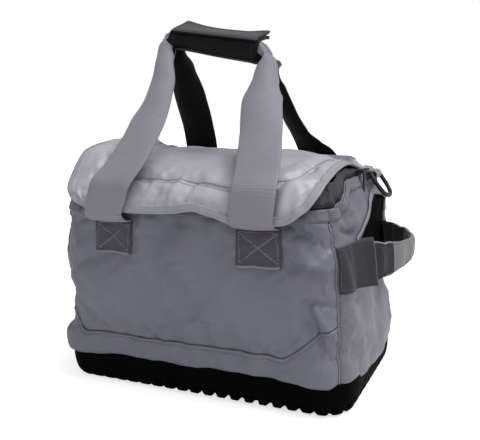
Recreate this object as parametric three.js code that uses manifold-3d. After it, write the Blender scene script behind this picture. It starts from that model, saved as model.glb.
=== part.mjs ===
// Soft-sided fishing tackle bag on a moulded tray: coated-fabric walls, a padded overhanging
// lid on a fabric hinge, a zip round the mouth, two carry handles joined by a wrap grip, and
// on each end a grab handle, a D-ring and an arched pocket.
// Millimetres, +Z up, origin at the bottom centre of the tray. The front faces -Y, right is +X.
import * as THREE from "three";
import { mergeVertices } from "three/addons/utils/BufferGeometryUtils.js";
import Module from "manifold-3d";

const wasm = await Module();
wasm.setup();

// ---------- driving dimensions ----------
const TRAY_HALF_X = 172;
const TRAY_HALF_Y = 103.5;
const TRAY_R = 34;
const TRAY_H = 38;
const TRAY_WALL = 4.5;
const TRAY_FLOOR = 6;
const GROOVES = 20;
const GROOVE_PITCH = 16.5;
const GROOVE_W = 5;
const GROOVE_D = 3;

const WALL_T = 4;
const CORNER_R = 28;
const RIM_FRONT_Z = 218; // mouth of the bag, lower at the front
const RIM_SIDE_Z = 240;
const SEAM_Z = 63; // yoke seam
const SEAM_HALF_GAP = 0.5;

const LID_T = 2.2;
const LID_HALF_X = 155;
const LID_CORNER = 45;
const LID_LIP_HALF = 115;

const STRAP_X = 88; // strap centres on the panels
const HALF_WEB = 48 / 2; // carry webbing
const HALF_WEB_T = 2.4 / 2;
const SIDE_WEB = 46; // width of the end handle anchors

const GRIP_CENTRE = [-2, 0, 393];
const GRIP_TILT = 11 * Math.PI / 180; // the right end hangs lower
const GRIP_LEN = 110;

const SLIDER_Y = 5;
const RING_CENTRE = [171.5, 40, 238];
const RING_WIRE_R = 2.6;
const RING_REST = -55 * Math.PI / 180; // the ring hangs outwards and down

// ---------- finishes ----------
const GREY = 0x6b6b74;
const LIGHT = 0x9a9aa4;
const DARK = 0x3f3f44;
const BLACK = 0x0b0b0d;
const FINISH = {
  tray: { color: 0x050506, roughness: 0.55 },
  board: { color: 0x1a1a1c, roughness: 0.7 },
  wall: { color: GREY, roughness: 0.6 },
  pocket: { color: BLACK, roughness: 0.9 },
  trim: { color: LIGHT, roughness: 0.6 },
  darkTrim: { color: DARK, roughness: 0.6 },
  lining: { color: 0x2c2c30, roughness: 0.8 },
  lid: { color: LIGHT, roughness: 0.55 },
  foam: { color: 0x2a2a2c, roughness: 0.9 },
  zipTape: { color: LIGHT, roughness: 0.8 },
  zipCoil: { color: BLACK, roughness: 0.4 },
  slider: { color: 0x222226, roughness: 0.35, metalness: 0.6 },
  zipPull: { color: 0x18181a, roughness: 0.4 },
  patch: { color: DARK, roughness: 0.85 },
  frontWebbing: { color: GREY, roughness: 0.8 },
  rearWebbing: { color: 0x17171a, roughness: 0.8 },
  gripWrap: { color: 0x111113, roughness: 0.5 },
  gripFlap: { color: 0x1b1b1e, roughness: 0.5 },
  sideHandle: { color: 0x6f6e70, roughness: 0.6 },
  keeper: { color: GREY, roughness: 0.85 },
  ring: { color: 0x111113, roughness: 0.3, metalness: 0.4 },
};

// ---------- numbers ----------
const PLUS_X = [1, 0, 0];
const MINUS_X = [-1, 0, 0];
const PLUS_Y = [0, 1, 0];
const MINUS_Y = [0, -1, 0];
const PLUS_Z = [0, 0, 1];
const mix = (a, b, t) => a + (b - a) * t;
const clamp01 = (t) => Math.min(1, Math.max(0, t));
function smooth(value) {
  const t = clamp01(value);
  return t * t * (3 - 2 * t);
}

// lookup in [x, value] rows, halfway between straight and eased interpolation
function table(rows) {
  return (x) => {
    if (x <= rows[0][0]) return rows[0][1];
    for (let i = 1; i < rows.length; i++) {
      if (x > rows[i][0]) continue;
      const [x0, value0] = rows[i - 1];
      const [x1, value1] = rows[i];
      const t = (x - x0) / (x1 - x0);
      return mix(value0, value1, smooth(t) * 0.5 + 0.5 * t);
    }
    return rows[rows.length - 1][1];
  };
}

// unit normal to the left of the direction of travel
function leftNormal(before, after) {
  const travel = after.clone().sub(before).normalize();
  return new THREE.Vector2(-travel.y, travel.x);
}

// ---------- geometry ----------
const group = new THREE.Group();

function signedVolume(geometry) {
  const { index, attributes: { position } } = geometry;
  const corners = [new THREE.Vector3(), new THREE.Vector3(), new THREE.Vector3()];
  let sum = 0;
  for (let i = 0; i < index.count; i += 3) {
    corners.forEach((corner, j) => corner.fromBufferAttribute(position, index.getX(i + j)));
    sum += corners[0].dot(corners[1].cross(corners[2]));
  }
  return sum / 6;
}

// positions only, merged, facing out
function closed(geometry) {
  const bare = geometry.clone();
  for (const key of Object.keys(bare.attributes)) {
    if (key !== "position") bare.deleteAttribute(key);
  }
  const merged = mergeVertices(bare, 1e-4);
  if (signedVolume(merged) < 0) {
    const index = merged.index;
    for (let i = 0; i < index.count; i += 3) {
      const second = index.getX(i + 1);
      index.setX(i + 1, index.getX(i + 2));
      index.setX(i + 2, second);
    }
  }
  return merged;
}

function toSolid(geometry) {
  const merged = closed(geometry);
  return new wasm.Manifold(new wasm.Mesh({
    numProp: 3,
    vertProperties: new Float32Array(merged.attributes.position.array),
    triVerts: new Uint32Array(merged.index.array),
  }));
}

function fromSolid(solid) {
  const mesh = solid.getMesh();
  const stride = mesh.numProp;
  const points = new Float32Array(mesh.numVert * 3);
  for (let i = 0; i < mesh.numVert; i++) {
    points.set(mesh.vertProperties.subarray(i * stride, i * stride + 3), i * 3);
  }
  const geometry = new THREE.BufferGeometry();
  geometry.setAttribute("position", new THREE.BufferAttribute(points, 3));
  geometry.setIndex(new THREE.BufferAttribute(new Uint32Array(mesh.triVerts), 1));
  return geometry;
}

function add(name, geometry, finish) {
  const surface = closed(geometry);
  surface.computeVertexNormals();
  const mesh = new THREE.Mesh(surface, new THREE.MeshStandardMaterial(finish));
  mesh.name = name;
  group.add(mesh);
}

const mirrorX = (geometry) => geometry.clone().scale(-1, 1, 1);
const mirrorY = (geometry) => geometry.clone().scale(1, -1, 1);
// end pieces are drawn on the right and mirrored to the left
const ENDS = [["right", (geometry) => geometry], ["left", mirrorX]];

function addEndPair(suffix, geometry, finish) {
  for (const [side, onSide] of ENDS) add(`${side}_${suffix}`, onSide(geometry), finish);
}

// moves every vertex to place(x, y, z, vertex number)
function reshape(geometry, place) {
  const position = geometry.attributes.position;
  for (let i = 0; i < position.count; i++) {
    const point = place(position.getX(i), position.getY(i), position.getZ(i), i);
    position.setXYZ(i, ...point);
  }
  return geometry;
}

// a box whose (along, across, through) coordinates, each 0..1, are mapped through place
function slab(alongSegments, acrossSegments, place) {
  const box = new THREE.BoxGeometry(1, 1, 1, alongSegments, acrossSegments, 1);
  return reshape(box, (x, y, z) => place(x + 0.5, y + 0.5, z + 0.5));
}

// steps from the first point: 2 numbers a line, 4 a quadratic, 6 a cubic, control points first
function outline([start, ...steps]) {
  const shape = new THREE.Shape();
  shape.moveTo(...start);
  for (const step of steps) {
    if (step.length === 2) shape.lineTo(...step);
    else if (step.length === 4) shape.quadraticCurveTo(...step);
    else shape.bezierCurveTo(...step);
  }
  shape.closePath();
  return shape;
}

// axes: where the shape's x, the shape's y and the depth point
function extrude(shape, depth, curveSegments, axes, origin) {
  const geometry = new THREE.ExtrudeGeometry(shape, { depth, bevelEnabled: false, curveSegments });
  const matrix = new THREE.Matrix4().makeBasis(...axes.map((axis) => new THREE.Vector3(...axis)));
  return geometry.applyMatrix4(matrix.setPosition(...origin));
}
const FACING_X = [PLUS_Y, PLUS_Z, PLUS_X];

// ---------- places round a rounded rectangle ----------
// "lap" runs counter-clockwise seen from above, 12 to a turn: front -1..1, corner 1..2,
// right end 2..4, corner 4..5, rear 5..7, corner 7..8, left end 8..10, corner -2..-1
const LAP_RIGHT = 3;
const LAP_REAR = 6;

function lapPoint(place, sizeX, sizeY, radius, out, z) {
  const lap = place < -2 ? place + 12 : place;
  const centreX = sizeX - radius;
  const centreY = sizeY - radius;
  const corner = (signX, signY, startAngle, startLap) => {
    const angle = startAngle + (lap - startLap) * Math.PI / 2;
    return [
      signX * centreX + (radius + out) * Math.cos(angle),
      signY * centreY + (radius + out) * Math.sin(angle),
      z,
    ];
  };
  if (lap <= -1) return corner(-1, -1, -Math.PI, -2);
  if (lap <= 1) return [lap * centreX, -sizeY - out, z];
  if (lap <= 2) return corner(1, -1, -Math.PI / 2, 1);
  if (lap <= 4) return [sizeX + out, (lap - LAP_RIGHT) * centreY, z];
  if (lap <= 5) return corner(1, 1, 0, 4);
  if (lap <= 7) return [(LAP_REAR - lap) * centreX, sizeY + out, z];
  if (lap <= 8) return corner(-1, 1, Math.PI / 2, 7);
  return [-sizeX - out, (9 - lap) * centreY, z];
}

// capped solid through rows, lowest first; ring(lap, row) gives the point on a row
function loft(segments, rows, ring) {
  const last = rows.length - 1;
  const cylinder = new THREE.CylinderGeometry(1, 1, 1, segments, last);
  return reshape(cylinder, (x, height, y) => {
    const row = rows[Math.round((height + 0.5) * last)];
    const point = ring(LAP_RIGHT + Math.atan2(y, x) / (Math.PI / 6), row);
    const isCapCentre = Math.hypot(x, y) < 1e-6;
    return isCapCentre ? [0, 0, point[2]] : point;
  });
}

// ---------- the bag's outer wall surface ----------
// columns: z, half size
const wallHalfX = table([
  [8, 166.2], [40, 166.2], [48, 169.5], [62, 172.5], [100, 174],
  [150, 171], [200, 165.5], [226, 161.8], [260, 157],
]);
const wallHalfY = table([
  [8, 97.7], [40, 97.7], [48, 101], [62, 104.5], [100, 107],
  [150, 106.5], [200, 104.5], [226, 103], [260, 101],
]);
const wallCornerR = table([[40, CORNER_R + 3.5], [60, CORNER_R]]);

function wallPoint(lap, z, out) {
  return lapPoint(lap, wallHalfX(z), wallHalfY(z), wallCornerR(z), out, z);
}

// mouth height: low along the front, rising towards the rear
function rimZ(lap) {
  const y = wallPoint(lap, 225, 0)[1];
  return mix(RIM_FRONT_Z, RIM_SIDE_Z, smooth((y + 92) / 62));
}

// front yoke seam: level, and rising round the corners
function seamZ(lap) {
  const x = wallPoint(lap, SEAM_Z, 0)[0];
  const rise = x > 0 ? 37 * smooth((x - 108) / 60) : 28 * smooth((-x - 136) / 36);
  return SEAM_Z + rise;
}

// heights may be numbers or functions of lap
const heightAt = (height, lap) => (typeof height === "function" ? height(lap) : height);
const above = (height, rise) => (lap) => heightAt(height, lap) + rise;

// piece of wall between two laps, two heights and two offsets from the outer surface
function wallSlab([lap0, lap1], [bottom, top], [inner, outer], [lapSegments, heightSegments]) {
  return slab(lapSegments, heightSegments, (along, across, through) => {
    const lap = mix(lap0, lap1, along);
    const z = mix(heightAt(bottom, lap), heightAt(top, lap), across);
    return wallPoint(lap, z, mix(inner, outer, through));
  });
}

// wall from inside the tray upwards, with fixed rows where it bulges over the tray rim
const LOW_WALL_Z = [15.5, 39.5, 48, 62];
function lowWall([lap0, lap1], top, lapSegments, heightSegments) {
  const lastFixed = LOW_WALL_Z.length - 1;
  return slab(lapSegments, heightSegments, (along, across, through) => {
    const lap = mix(lap0, lap1, along);
    const row = Math.round(across * heightSegments);
    const upper = (row - lastFixed) / (heightSegments - lastFixed);
    const z = row < lastFixed
      ? LOW_WALL_Z[row]
      : mix(LOW_WALL_Z[lastFixed], heightAt(top, lap), upper);
    return wallPoint(lap, z, mix(-WALL_T, 0, through));
  });
}

// ---------- moulded tray ----------
// columns: z, inset from the tray's full size
const TRAY_OUTSIDE = [[0, 17], [2, 11.5], [6, 6.5], [12, 2.7], [22, 0.4], [TRAY_H, 0]];
const TRAY_INSIDE = [
  [TRAY_FLOOR, TRAY_WALL + 8], [TRAY_FLOOR + 3, TRAY_WALL + 3],
  [TRAY_FLOOR + 9, TRAY_WALL], [TRAY_H + 5, TRAY_WALL],
];

function trayLoft(rows) {
  return toSolid(loft(48, rows, (lap, [z, inset]) => {
    const radius = Math.max(8, TRAY_R - inset);
    return lapPoint(lap, TRAY_HALF_X - inset, TRAY_HALF_Y - inset, radius, 0, z);
  }));
}

// open tray with grooves running front to back across its underside
function addTray() {
  let tray = trayLoft(TRAY_OUTSIDE).subtract(trayLoft(TRAY_INSIDE));
  for (let k = 0; k < GROOVES; k++) {
    const groove = new THREE.BoxGeometry(GROOVE_W, 2 * TRAY_HALF_Y + 20, 2 * GROOVE_D);
    groove.translate((k - (GROOVES - 1) / 2) * GROOVE_PITCH, 0, 0);
    tray = tray.subtract(toSolid(groove));
  }
  add("base_tray", fromSolid(tray), FINISH.tray);
}

// stiffener board just above the tray floor
function addBoard() {
  const board = { halfX: 157.5, halfY: 89, radius: 20, bottom: 6.5, top: 9 };
  const geometry = loft(48, [board.bottom, board.top], (lap, z) =>
    lapPoint(lap, board.halfX, board.halfY, board.radius, 0, z));
  add("base_board", geometry, FINISH.board);
}

// ---------- walls ----------
const CORNER_SEAM = 1.55; // laps from the middle of the front or rear to its corner seams
const GUSSET_GAP = 0.012; // laps
const FRONT_SPAN = [-CORNER_SEAM, CORNER_SEAM];
const REAR_SPAN = [LAP_REAR - CORNER_SEAM, LAP_REAR + CORNER_SEAM];
const GUSSET_SPAN = [CORNER_SEAM + GUSSET_GAP, LAP_REAR - CORNER_SEAM - GUSSET_GAP];

function addPanels() {
  for (const [face, span, seam, segments] of [
    ["front", FRONT_SPAN, seamZ, 18],
    ["rear", REAR_SPAN, SEAM_Z, 14],
  ]) {
    const heights = [above(seam, SEAM_HALF_GAP), rimZ];
    const panel = wallSlab(span, heights, [-WALL_T, 0], [segments, 4]);
    add(`${face}_panel`, panel, FINISH.wall);
    add(`${face}_yoke`, lowWall(span, above(seam, -SEAM_HALF_GAP), segments, 4), FINISH.wall);
  }
}

// arched pocket outline, clockwise; columns: y, z
const ARCH = [
  [-50, 112], [-52, 150], [-50, 178], [-34, 196], [-14, 208], [2, 216], [20, 219],
  [38, 214], [52, 198], [60, 170], [63, 140], [61, 112], [46, 104], [-36, 104],
];
const ARCH_POINTS = 26;

// solid through the right end, its outline grown by "grow"
function archPrism(grow) {
  const knots = ARCH.map(([y, z]) => new THREE.Vector3(y, z, 0));
  const points = new THREE.CatmullRomCurve3(knots, true, "centripetal")
    .getSpacedPoints(ARCH_POINTS)
    .slice(0, ARCH_POINTS)
    .map(({ x, y }) => new THREE.Vector2(x, y));
  const grown = points.map((point, i) => {
    const before = points[(i + ARCH_POINTS - 1) % ARCH_POINTS];
    const after = points[(i + 1) % ARCH_POINTS];
    return point.clone().addScaledVector(leftNormal(before, after), grow);
  });
  return toSolid(extrude(new THREE.Shape(grown), 60, 12, FACING_X, [140, 0, 0]));
}

// end walls with an arched opening, the panel set back in it, and the binding round it
function addGussets() {
  const gusset = toSolid(lowWall(GUSSET_SPAN, rimZ, 12, 7)).subtract(archPrism(0));
  addEndPair("gusset", fromSolid(gusset), FINISH.wall);

  const panel = toSolid(wallSlab([2, 4], [90, 230], [-2.9, -1.7], [3, 4]))
    .intersect(archPrism(-0.5));
  addEndPair("pocket_panel", fromSolid(panel), FINISH.pocket);

  const binding = toSolid(wallSlab([2, 4], [88, 232], [0.9, 2.2], [3, 5]))
    .intersect(archPrism(3.6).subtract(archPrism(0.2)));
  addEndPair("pocket_binding", fromSolid(binding), FINISH.trim);
}

// one thin cup inside the walls
function addLiner() {
  const cup = (out, bottom, rimRise) => {
    const rows = [bottom, 40, 62, 120, 180, above(rimZ, rimRise)];
    return toSolid(loft(36, rows, (lap, height) => wallPoint(lap, heightAt(height, lap), out)));
  };
  const liner = cup(-5.4, 9.6, -2).subtract(cup(-6.6, 10.8, 8));
  add("inner_liner", fromSolid(liner), FINISH.lining);
}

// cords over the four corner seams and the two yoke seams
function addPiping() {
  const halfWidth = 0.035; // laps
  for (const [name, lap] of [
    ["front_right", FRONT_SPAN[1]],
    ["front_left", FRONT_SPAN[0]],
    ["rear_right", REAR_SPAN[0]],
    ["rear_left", REAR_SPAN[1]],
  ]) {
    const rows = [52, 62, 74, 90, 106, 128, 151, 173, rimZ(lap) - 15];
    const last = rows.length - 1;
    const cord = slab(1, last, (along, across, through) => wallPoint(
      mix(lap - halfWidth, lap + halfWidth, along),
      rows[Math.round(across * last)],
      mix(0.9, 2.7, through),
    ));
    add(`corner_piping_${name}`, cord, FINISH.trim);
  }
  for (const [face, [lap0, lap1], seam, segments] of [
    ["front", FRONT_SPAN, seamZ, 18],
    ["rear", REAR_SPAN, SEAM_Z, 14],
  ]) {
    const span = [lap0 + 0.06, lap1 - 0.06];
    const cord = wallSlab(span, [above(seam, -1.1), above(seam, 1.1)], [0.6, 2.1], [segments, 1]);
    add(`yoke_piping_${face}`, cord, FINISH.darkTrim);
  }
}

// ---------- lid ----------
// profile from the hinge forwards and down to the lip; columns: y, z
const LID_PROFILE = [
  [101, 254], [72, 259.5], [22, 263.5], [-34, 262], [-72, 255.5],
  [-98, 244], [-113, 230], [-120.3, 218], [-122, 208],
];
const lidCurve = new THREE.CatmullRomCurve3(
  LID_PROFILE.map(([y, z]) => new THREE.Vector3(0, y, z)), false, "centripetal");
const LID_L = lidCurve.getLength();
// rows of the lid mesh, as distances from the lip
const LID_LEVELS = [
  6, 13, 21, 30, 38, 45, 58, 75, 100, 120, 135, 155, 175, 190, 205, 218, 228,
];

// fromLip = distance from the lip along the surface, out = offset along the outward normal
function lidPoint(x, fromLip, out) {
  const share = clamp01(1 - fromLip / LID_L);
  const point = lidCurve.getPointAt(share);
  const tangent = lidCurve.getTangentAt(share);
  const fromHinge = LID_L - fromLip;
  const top = smooth((fromLip - 20) / 60);
  const endDrop = -4.5 * Math.pow(Math.min(1, Math.abs(x) / LID_HALF_X), 4) * top;
  const tilt = -3.5 * (x / LID_HALF_X) * top * smooth(fromHinge / 40);
  const leftLift = 10 * smooth((-x - 60) / 80) * smooth((fromLip - 40) / 40)
    * smooth(fromHinge / 60);
  const rightDip = -3 * smooth((x - 60) / 90) * smooth((point.y + 30) / 100)
    * smooth(fromHinge / 40);
  return [
    x,
    point.y + tangent.z * out,
    point.z - tangent.y * out + endDrop + tilt + leftLift + rightDip,
  ];
}

// half width of the lid, rounded off towards the lip
function lidHalf(fromLip) {
  if (fromLip >= LID_CORNER) return LID_HALF_X;
  const t = (LID_CORNER - fromLip) / LID_CORNER;
  return LID_HALF_X - (LID_HALF_X - LID_LIP_HALF) * (1 - Math.sqrt(Math.max(0, 1 - t * t)));
}

// one layer of the lid, inset from its side edges, between two distances and two offsets
function lidLayer(inset, [near, far], [inner, outer]) {
  const between = LID_LEVELS.filter((level) => level > near + 1 && level < far - 1);
  const rows = [near, ...between, far];
  const last = rows.length - 1;
  return slab(14, last, (along, across, through) => {
    const fromLip = rows[Math.round(across * last)];
    const halfWidth = lidHalf(Math.max(0, fromLip - inset * 0.6)) - inset;
    return lidPoint(mix(-halfWidth, halfWidth, along), fromLip, mix(inner, outer, through));
  });
}

function addLidLayers() {
  add("lid_panel", lidLayer(0, [0, LID_L - 0.6], [-LID_T, 0]), FINISH.lid);
  add("lid_foam", lidLayer(11, [13, LID_L - 6], [-6.2, -LID_T - 1.1]), FINISH.foam);
  add("lid_lining", lidLayer(7, [6, LID_L - 4], [-8.2, -7.1]), FINISH.lining);
}

// folded hem round the three free edges: down the left side, along the lip, up the right
function addLidHem() {
  const hemWidth = 9;
  const cornerSteps = 8;
  const lipSteps = 6;
  // points are (x, distance from the lip)
  const sideLevels = LID_LEVELS.filter((level) => level > LID_CORNER).reverse();
  const leftHalf = [LID_L - 3, ...sideLevels]
    .map((level) => new THREE.Vector2(-LID_HALF_X, level));
  for (let i = 0; i <= cornerSteps; i++) {
    const angle = i / cornerSteps * Math.PI / 2;
    leftHalf.push(new THREE.Vector2(
      -LID_HALF_X + (LID_HALF_X - LID_LIP_HALF) * (1 - Math.cos(angle)),
      LID_CORNER * (1 - Math.sin(angle)),
    ));
  }
  const lip = [];
  for (let i = 1; i < lipSteps; i++) {
    lip.push(new THREE.Vector2(mix(-LID_LIP_HALF, LID_LIP_HALF, i / lipSteps), 0));
  }
  const rightHalf = leftHalf.map(({ x, y }) => new THREE.Vector2(-x, y)).reverse();
  const edge = [...leftHalf, ...lip, ...rightHalf];
  const last = edge.length - 1;

  const hem = slab(last, 1, (along, across, through) => {
    const i = Math.round(along * last);
    const inward = leftNormal(edge[Math.max(0, i - 1)], edge[Math.min(last, i + 1)]);
    const point = edge[i].clone().addScaledVector(inward, hemWidth * across);
    return lidPoint(point.x, Math.max(0, point.y), mix(0.6, 1.7, through));
  });
  add("lid_hem", hem, FINISH.trim);
}

// height of the lid surface, offset by "out", above a given (x, y); found by bisection
function lidZ(x, y, out) {
  let low = 0;
  let high = LID_L;
  for (let i = 0; i < 40; i++) {
    const middle = (low + high) / 2;
    if (lidPoint(x, middle, out)[1] < y) low = middle;
    else high = middle;
  }
  return lidPoint(x, (low + high) / 2, out)[2];
}

// fabric bridge that carries the lid, on the rear panel
function addHinge() {
  const strip = slab(12, 4, (along, across, through) => {
    const z = mix(224, 252.6, across);
    const inner = Math.max(103.2, wallPoint(LAP_REAR, z, 0.4)[1]);
    return [mix(-132, 132, along), inner + 1.3 * through, z];
  });
  add("lid_hinge_strip", strip, FINISH.wall);
}

// ---------- zip round the mouth ----------
const ZIP_END = 3.72; // laps either way from the middle of the front
const ZIP_SPAN = [-ZIP_END, ZIP_END];

function addZipTapes() {
  const body = wallSlab(ZIP_SPAN, [above(rimZ, -12), above(rimZ, -1)], [0.6, 1.6], [32, 1]);
  add("zip_tape_body", body, FINISH.zipTape);
  const coil = wallSlab(ZIP_SPAN, [above(rimZ, 0.5), above(rimZ, 5)], [-3.4, -1.0], [32, 1]);
  add("zip_coil", coil, FINISH.zipCoil);

  // leans inwards from the coil up to the underside of the lid
  const lidTape = slab(32, 1, (along, across, through) => {
    const lap = mix(...ZIP_SPAN, along);
    const bottomZ = rimZ(lap) + 5.5;
    const [lowX, lowY] = wallPoint(lap, bottomZ, mix(-3.0, -1.8, through));
    const [highX, highY] = wallPoint(lap, bottomZ, mix(-9.2, -8.0, through));
    const topZ = lidZ(highX, highY, -8) - 1.2;
    return [mix(lowX, highX, across), mix(lowY, highY, across), mix(bottomZ, topZ, across)];
  });
  add("zip_tape_lid", lidTape, FINISH.zipTape);
}

// on the right end
function addZipSlider() {
  const wallX = wallHalfX(RIM_SIDE_Z);
  const body = new THREE.BoxGeometry(5, 10, 6.4);
  body.translate(wallX + 2.4, SLIDER_Y, RIM_SIDE_Z + 4);
  const bail = new THREE.BoxGeometry(2, 4, 3);
  bail.translate(wallX + 5.6, SLIDER_Y, RIM_SIDE_Z + 5);
  add("zip_slider", fromSolid(toSolid(body).add(toSolid(bail))), FINISH.slider);

  const pull = outline([
    [-3, -24], [0, -26.5, 3, -24], [2.4, -8], [3.2, -1.2], [3.2, 0.6, 1.6, 0.6],
    [-1.6, 0.6], [-3.2, 0.6, -3.2, -1.2], [-2.4, -8],
  ]);
  const origin = [wallX + 7.1, SLIDER_Y, RIM_SIDE_Z + 5.3];
  add("zip_pull", extrude(pull, 1.4, 4, FACING_X, origin), FINISH.zipPull);
}

// ---------- webbing ----------
// a flat band through stations [centre, width direction, half width, half thickness];
// a station that stops short lies along X at the carry webbing's full size
function band(stations, segments) {
  const centres = stations.map(([centre]) => new THREE.Vector3(...centre));
  const curve = new THREE.CatmullRomCurve3(centres, false, "centripetal");
  const sections = stations.map(
    ([, width = PLUS_X, halfWidth = HALF_WEB, halfThickness = HALF_WEB_T]) =>
      ({ width: new THREE.Vector3(...width).normalize(), halfWidth, halfThickness }));
  const spans = stations.length - 1;
  return slab(segments, 1, (along, across, through) => {
    const i = Math.min(spans - 1, Math.floor(along * spans));
    const blend = smooth(along * spans - i);
    const from = sections[i];
    const to = sections[i + 1];
    const tangent = curve.getTangent(along);
    const width = from.width.clone().lerp(to.width, blend);
    width.addScaledVector(tangent, -width.dot(tangent)).normalize();
    const normal = new THREE.Vector3().crossVectors(tangent, width);
    const halfWidth = mix(from.halfWidth, to.halfWidth, blend);
    const halfThickness = mix(from.halfThickness, to.halfThickness, blend);
    return curve.getPoint(along)
      .addScaledVector(width, (across * 2 - 1) * halfWidth)
      .addScaledVector(normal, (through * 2 - 1) * halfThickness)
      .toArray();
  });
}

// columns: face, sign of y, band segments, (y, z) stations of the upper end;
// the front patches run out under the lid lip
const STRAP_PATCHES = [
  ["front", -1, 10, [[-108.4, 199.5], [-115, 202], [-124, 202.8]]],
  ["rear", 1, 8, [[107.6, 200], [109.2, 204.6]]],
];

function addStrapPatches() {
  for (const [side, x] of [["left", -STRAP_X], ["right", STRAP_X]]) {
    for (const [face, sign, segments, upperEnd] of STRAP_PATCHES) {
      const flat = [158, 170, 182, 194].map((z) =>
        [sign * (wallHalfY(z) + 0.5 + HALF_WEB_T), z]);
      const stations = [...flat, ...upperEnd].map(([y, z]) => [[x, y, z]]);
      add(`${face}_strap_patch_${side}`, band(stations, segments), FINISH.patch);
    }
  }
}

const GRIP_ALONG = [Math.cos(GRIP_TILT), 0, -Math.sin(GRIP_TILT)];
const GRIP_NORMAL = [Math.sin(GRIP_TILT), 0, Math.cos(GRIP_TILT)];
function gripPoint(along, y, up) {
  const [x0, y0, z0] = GRIP_CENTRE;
  return [
    x0 + GRIP_ALONG[0] * along + GRIP_NORMAL[0] * up,
    y0 + y,
    z0 + GRIP_ALONG[2] * along + GRIP_NORMAL[2] * up,
  ];
}

// both handles run from the left patch, through the grip, to the right patch
const FRONT_HANDLE = [
  [[-STRAP_X, -128, 206.2]],
  [[-87.9, -128, 212]],
  [[-83, -128, 226]],
  [[-75, -127, 243]],
  [[-67, -107, 270]],
  [[-63, -78, 306], PLUS_X, 23],
  [[-64, -48, 343], [0.95, -0.3, 0], 18, 1.6],
  [[-68, -26, 372], [0.6, -0.75, 0.2], 11, 2.4],
  [[-68, -13, 393], [0.1, -1, 0], 6, 3],
  [gripPoint(-62, -9.5, 2), MINUS_Y, 4.5, 3.4],
  [gripPoint(-52, -8.5, 0), MINUS_Y, 4.5, 6.5],
  [gripPoint(-38, -8.5, 0), MINUS_Y, 4.5, 10],
  [gripPoint(0, -8.5, 0), MINUS_Y, 4.5, 10],
  [gripPoint(38, -8.5, 0), MINUS_Y, 4.5, 10],
  [gripPoint(52, -8.5, 0), MINUS_Y, 4.5, 6.5],
  [gripPoint(62, -9.5, -2), MINUS_Y, 4.5, 3.4],
  [[68, -13, 368], [-0.1, -1, 0], 6, 3],
  [[74, -26, 350], [-0.6, -0.75, -0.2], 11, 2.4],
  [[80, -48, 325], [-0.95, -0.3, 0], 18, 1.6],
  [[87, -80, 290], MINUS_X, 23],
  [[92, -108, 260], MINUS_X],
  [[93, -127, 240], MINUS_X],
  [[90, -128, 225], MINUS_X],
  [[88.1, -128, 212], MINUS_X],
  [[STRAP_X, -128, 206.2], MINUS_X],
];
const REAR_HANDLE = [
  [[-STRAP_X, 111, 207.5]],
  [[-STRAP_X, 111, 234]],
  [[-86, 110, 263]],
  [[-80, 92, 292], PLUS_X, 23],
  [[-72, 62, 328], [0.95, 0.25, 0], 20, 1.6],
  [[-66, 34, 362], [0.7, 0.7, 0], 13, 2.2],
  [[-66, 14, 388], [0.1, 1, 0], 6, 3],
  [gripPoint(-62, 7.5, 1), PLUS_Y, 4.3, 3.4],
  [gripPoint(-52, 5.5, 0), PLUS_Y, 4.3, 6],
  [gripPoint(-38, 5.5, 0), PLUS_Y, 4.3, 9.5],
  [gripPoint(0, 5.5, 0), PLUS_Y, 4.3, 9.5],
  [gripPoint(38, 5.5, 0), PLUS_Y, 4.3, 9.5],
  [gripPoint(52, 5.5, 0), PLUS_Y, 4.3, 6],
  [gripPoint(61, 7.5, -2), PLUS_Y, 4.3, 3.4],
  [[64, 14, 368], [-0.1, 1, 0], 6, 3],
  [[68, 34, 346], [-0.7, 0.7, 0], 13, 2.2],
  [[76, 62, 315], [-0.95, 0.25, 0], 20, 1.6],
  [[82, 92, 284], MINUS_X, 23],
  [[86, 110, 260], MINUS_X],
  [[STRAP_X, 111, 234], MINUS_X],
  [[STRAP_X, 111, 207.5], MINUS_X],
];

function addHandles() {
  add("front_handle_webbing", band(FRONT_HANDLE, 44), FINISH.frontWebbing);
  add("rear_handle_webbing", band(REAR_HANDLE, 42), FINISH.rearWebbing);
}

// ---------- wrap grip ----------
// sections are drawn in (y, grip normal)
// C section, its slot facing the rear so that the rear webbing can leave
const WRAP_SECTION = [
  [15, 15.5], [-9, 15.5], [-19, 15.5, -19, 7], [-19, -9], [-19, -18, -9, -18],
  [11, -18], [16, -18, 16, -12.6], [-9, -12.6], [-14.6, -12.6, -14.6, -7],
  [-14.6, 7], [-14.6, 12.2, -9, 12.2], [15, 12.2],
];
// flap that lies over the top of the wrap
const FLAP_SECTION = [
  [-14, 16.2], [-8, 16.2, 0, 16.6], [10, 17.4, 17, 20.5], [16.3, 23],
  [9, 20.2, 0, 19.4], [-8, 19, -14, 18.4],
];

function addGrip() {
  const axes = [PLUS_Y, GRIP_NORMAL, GRIP_ALONG];
  const alongGrip = (section, length) =>
    extrude(outline(section), length, 5, axes, gripPoint(-length / 2, 0, 0));
  add("grip_wrap", alongGrip(WRAP_SECTION, GRIP_LEN), FINISH.gripWrap);
  add("grip_flap", alongGrip(FLAP_SECTION, GRIP_LEN - 2), FINISH.gripFlap);
}

// ---------- end grab handles ----------
const SIDE_HANDLE = [
  [[187.5, -49, 155.5], PLUS_Z, 22.5, 2.2],
  [[199, -36, 156], PLUS_Z, 19, 2.8],
  [[209.5, -16, 157], PLUS_Z, 14.5, 3.6],
  [[213, 6, 157.5], PLUS_Z, 12.5, 4],
  [[210.5, 28, 157.5], PLUS_Z, 14, 3.6],
  [[201, 45, 156.5], PLUS_Z, 18.5, 2.8],
  [[187.5, 54, 155.5], PLUS_Z, 22.5, 2.2],
];

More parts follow.
